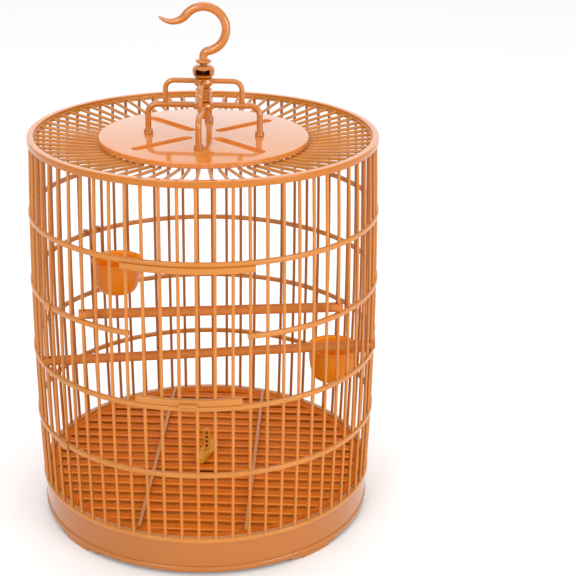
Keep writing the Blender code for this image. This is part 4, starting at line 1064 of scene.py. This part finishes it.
def make_cup(name):
    """A feed cup with a flared lip, a moulding nub and two hooks over the hoop."""
    pitches, number, nub = CUP_PLACES[name]
    azimuth = pitches * BAR_PITCH
    hoop_top = HOOPS[number][1]
    rim = hoop_top - CUP_BELOW_HOOP
    lip, radius, depth, wall = CUP_LIP, CUP_RADIUS, CUP_DEPTH, CUP_WALL
    seat = Matrix.Translation(on_circle(CUP_OUT, azimuth, rim))
    outside = [(lip, -0.0006), (lip, -0.0013), (lip - 0.0004, -0.0018), (radius + 0.0002, -0.0024)]
    for step in range(CUP_STEPS + 1):
        t = math.pi / 2 * step / CUP_STEPS
        swell = math.cos(t) ** 0.58
        fall = (depth - CUP_NECK) * math.sin(t) ** 1.25
        outside.append((CUP_BOTTOM_RADIUS + (radius - CUP_BOTTOM_RADIUS) * swell, -CUP_NECK - fall))
    inside = [(max(0.002, r - wall), max(z, -depth + wall)) for r, z in reversed(outside[4:])]
    profile = [(0.0, -depth + wall)] + inside + [(radius - 0.0012, -0.0022), (lip - 0.0014, -0.0006),
                                                 (lip - 0.0010, -0.0001), (lip - 0.0004, -0.0001)]
    profile += outside + [(0.0, -depth)]
    bowl = Shape().turned(profile, 96, seat)
    gate = seat @ Matrix.Rotation(math.radians(nub), 4, "Z")
    gate = gate @ Matrix.Translation((0.0, -radius + 0.0010, -depth * 0.36))
    gate = gate @ Matrix.Rotation(math.pi / 2, 4, "X")
    bowl.turned([(0.0, 0.0009), (0.0010, 0.0007), (0.0014, 0.0), (0.0014, -0.0014), (0.0, -0.0014)],
                20, gate)
    middle = wall_radius(hoop_middle(number))
    spread = BAR_PITCH / 2
    face = CUP_OUT * math.cos(spread) - wall + math.sqrt(radius ** 2 - (CUP_OUT * math.sin(spread)) ** 2)
    thick, turned_in = CUP_HOOK_THICK, CUP_HOOK_ROUND
    inner_face = middle - CUP_HOOK_IN
    outer_face = middle + CUP_HOOK_OUT
    bridge = hoop_top + CUP_HOOK_PLAY
    drop = bridge - CUP_HOOK_DROP
    foot = rim - CUP_HOOK_FOOT
    outline = [(face, foot - thick), (inner_face - turned_in, foot - thick),
               (inner_face, foot - thick + turned_in), (inner_face, bridge), (outer_face, bridge),
               (outer_face, drop), (outer_face + thick, drop), (outer_face + thick, bridge + turned_in),
               (outer_face + turned_in, bridge + thick), (inner_face - turned_in, bridge + thick),
               (inner_face - thick, bridge + turned_in), (inner_face - thick, foot), (face, foot)]
    for sign in (-1, 1):
        turn = azimuth + sign * spread - math.pi / 2
        upright = Matrix.Rotation(turn, 4, "Z") @ Matrix.Rotation(math.pi / 2, 4, "X")
        bowl.prism(outline, -CUP_HOOK_HALF_WIDTH, CUP_HOOK_HALF_WIDTH, upright)
    cup = bowl.make(f"{name}_shown", CUP)
    axis = seat.translation
    # painted light: the bowl's inside faces are painted brighter
    paint_faces(cup, CUP_INSIDE_LIGHT, lambda at, way: (at - axis).xy.length < radius and way.z > -0.5
                and (at - axis).xy.dot(way.xy) < 0.0001)
    # the hooks beyond the lip get the bars' material, and with it the painted shade on their faces towards
    # the cage's axis
    paint_faces(cup, SHADED_BARS, lambda at, way: (at - axis).xy.length > lip + 0.001)
    place(cup, name, "cup", name)


PERCH_RADIUS = 0.0043
PERCH_PAST_BAR = 0.0036     # how far the tines reach past the bar's centre
PERCH_SLOT_HALF = 0.0022
PERCH_SLOT_DEEPER = 0.0004
PERCH_SPANS = 10


def make_perch(name, number, from_bar, to_bar):
    """A rod whose forked ends straddle a bar."""
    height = HOOPS[number][1] + CLEARANCE + PERCH_RADIUS
    ends = [on_circle(wall_radius(height), bar_azimuth(bar), height) for bar in (from_bar, to_bar)]
    along = (ends[1] - ends[0]).normalized()
    start, stop = ends[0] - along * PERCH_PAST_BAR, ends[1] + along * PERCH_PAST_BAR
    points = [start + (stop - start) * share / PERCH_SPANS for share in range(PERCH_SPANS + 1)]
    rod = Shape().tube(points, PERCH_RADIUS, 28).make(f"{name}_shown", PERCH)
    turn = Matrix.Rotation(math.atan2(along.y, along.x), 4, "Z")
    half = PERCH_SLOT_HALF
    slots = Shape()
    for end, way in ((ends[0], -1), (ends[1], 1)):
        reach = sorted((-way * (half + PERCH_SLOT_DEEPER), way * (PERCH_PAST_BAR + CUT_OVERRUN)))
        slots.block((reach[0], -half, -0.008), (reach[1], half, 0.008), Matrix.Translation(end) @ turn)
    cut(rod, slots, f"{name}_slots", bevel=0.0004)
    place(rod, name, "perch", name)


# Studio


FLOOR_REACH = 12.0
AIM = (0.0, 0.0, 0.2)       # what the lights look at


def make_stage():
    shape = Shape().block((-FLOOR_REACH, -FLOOR_REACH, -0.004), (FLOOR_REACH, FLOOR_REACH, 0.0))
    material = bpy.data.materials.new("studio_floor")
    material.use_nodes = True
    shader = material.node_tree.nodes["Principled BSDF"]
    shader.inputs["Base Color"].default_value = (0.90, 0.90, 0.90, 1.0)
    shader.inputs["Roughness"].default_value = 0.7
    shape.make("studio_floor", material)


def add_area_light(name, at, size, power):
    data = bpy.data.lights.new(name, "AREA")
    data.shape = "RECTANGLE"
    data.size, data.size_y = size
    data.energy = power
    light = bpy.data.objects.new(name, data)
    light.location = at
    light.rotation_euler = (Vector(AIM) - Vector(at)).to_track_quat("-Z", "Y").to_euler()
    bpy.context.scene.collection.objects.link(light)


def make_light():
    """Three soft lights and a white world that is dimmer to both sides."""
    world = bpy.data.worlds.new("studio")
    world.use_nodes = True
    world.node_tree.nodes["Background"].inputs["Color"].default_value = (1.0, 1.0, 1.0, 1.0)
    nodes, links = world.node_tree.nodes, world.node_tree.links
    way = nodes.new("ShaderNodeTexCoord")
    parts = nodes.new("ShaderNodeSeparateXYZ")
    links.new(way.outputs["Generated"], parts.inputs["Vector"])
    aside = nodes.new("ShaderNodeMath")
    aside.operation = "ABSOLUTE"
    links.new(parts.outputs["X"], aside.inputs[0])
    strength = nodes.new("ShaderNodeMapRange")
    strength.interpolation_type = "SMOOTHSTEP"
    strength.inputs["From Min"].default_value = 0.40
    strength.inputs["From Max"].default_value = 0.95
    strength.inputs["To Min"].default_value = 1.15
    strength.inputs["To Max"].default_value = 0.60
    links.new(aside.outputs["Value"], strength.inputs["Value"])
    links.new(strength.outputs["Result"], nodes["Background"].inputs["Strength"])
    bpy.context.scene.world = world
    add_area_light("key", at=(-0.9, -1.9, 1.2), size=(0.9, 0.9), power=14.0)
    add_area_light("fill", at=(1.6, -1.2, 0.6), size=(1.0, 1.0), power=17.0)
    add_area_light("top", at=(0.0, 0.4, 1.9), size=(1.6, 1.2), power=6.0)
    bpy.context.scene.view_settings.view_transform = "Standard"


CAMERA_TURN = math.radians(5.5)
CAMERA_BACK = 1.2074
CAMERA_ABOVE_RING = 0.3205
CAMERA_ELEVATION = math.radians(21.53)
CAMERA_YAW = math.radians(3.49)
CAMERA_ROLL = math.radians(-0.51)
FOCAL_PIXELS = 1354.0
PICTURE_PIXELS = 576
SENSOR = 36.0


def make_camera():
    """The photograph's viewpoint: it looks down at the cage, which stands left of centre."""
    cos, sin = math.cos, math.sin
    forward = Vector((0.0, cos(CAMERA_ELEVATION), -sin(CAMERA_ELEVATION)))
    right = Vector((1.0, 0.0, 0.0))
    up = right.cross(forward)
    forward, right = (forward * cos(CAMERA_YAW) + right * sin(CAMERA_YAW),
                      right * cos(CAMERA_YAW) - forward * sin(CAMERA_YAW))
    right, up = (right * cos(CAMERA_ROLL) + up * sin(CAMERA_ROLL),
                 up * cos(CAMERA_ROLL) - right * sin(CAMERA_ROLL))
    turn = Matrix.Rotation(CAMERA_TURN, 4, "Z")
    axes = Matrix((right, up, -forward)).transposed().to_4x4()
    data = bpy.data.cameras.new("photo_camera")
    data.sensor_width = SENSOR
    data.lens = FOCAL_PIXELS / PICTURE_PIXELS * SENSOR
    camera = bpy.data.objects.new("photo_camera", data)
    spot = Matrix.Translation((0.0, -CAMERA_BACK, RING_HIGH.z + CAMERA_ABOVE_RING))
    camera.matrix_world = turn @ spot @ axes
    bpy.context.scene.collection.objects.link(camera)
    bpy.context.scene.camera = camera


make_wall_bars()
make_hoops()
make_hoop_clips()
make_bottom_ring()
make_top_ring()
make_door()
make_lintel()
make_roof_grille()
make_roof_disc()
make_yoke()
make_spindle()
make_swivel()
make_hook()
make_skirt()
make_feet()
make_floor()
make_latch()
make_tray()
make_cup("cup_left")
make_cup("cup_right")
make_perch("perch_upper", 2, -7, 9)
make_perch("perch_lower", 3, -11, 14)
make_stage()
make_light()
make_camera()
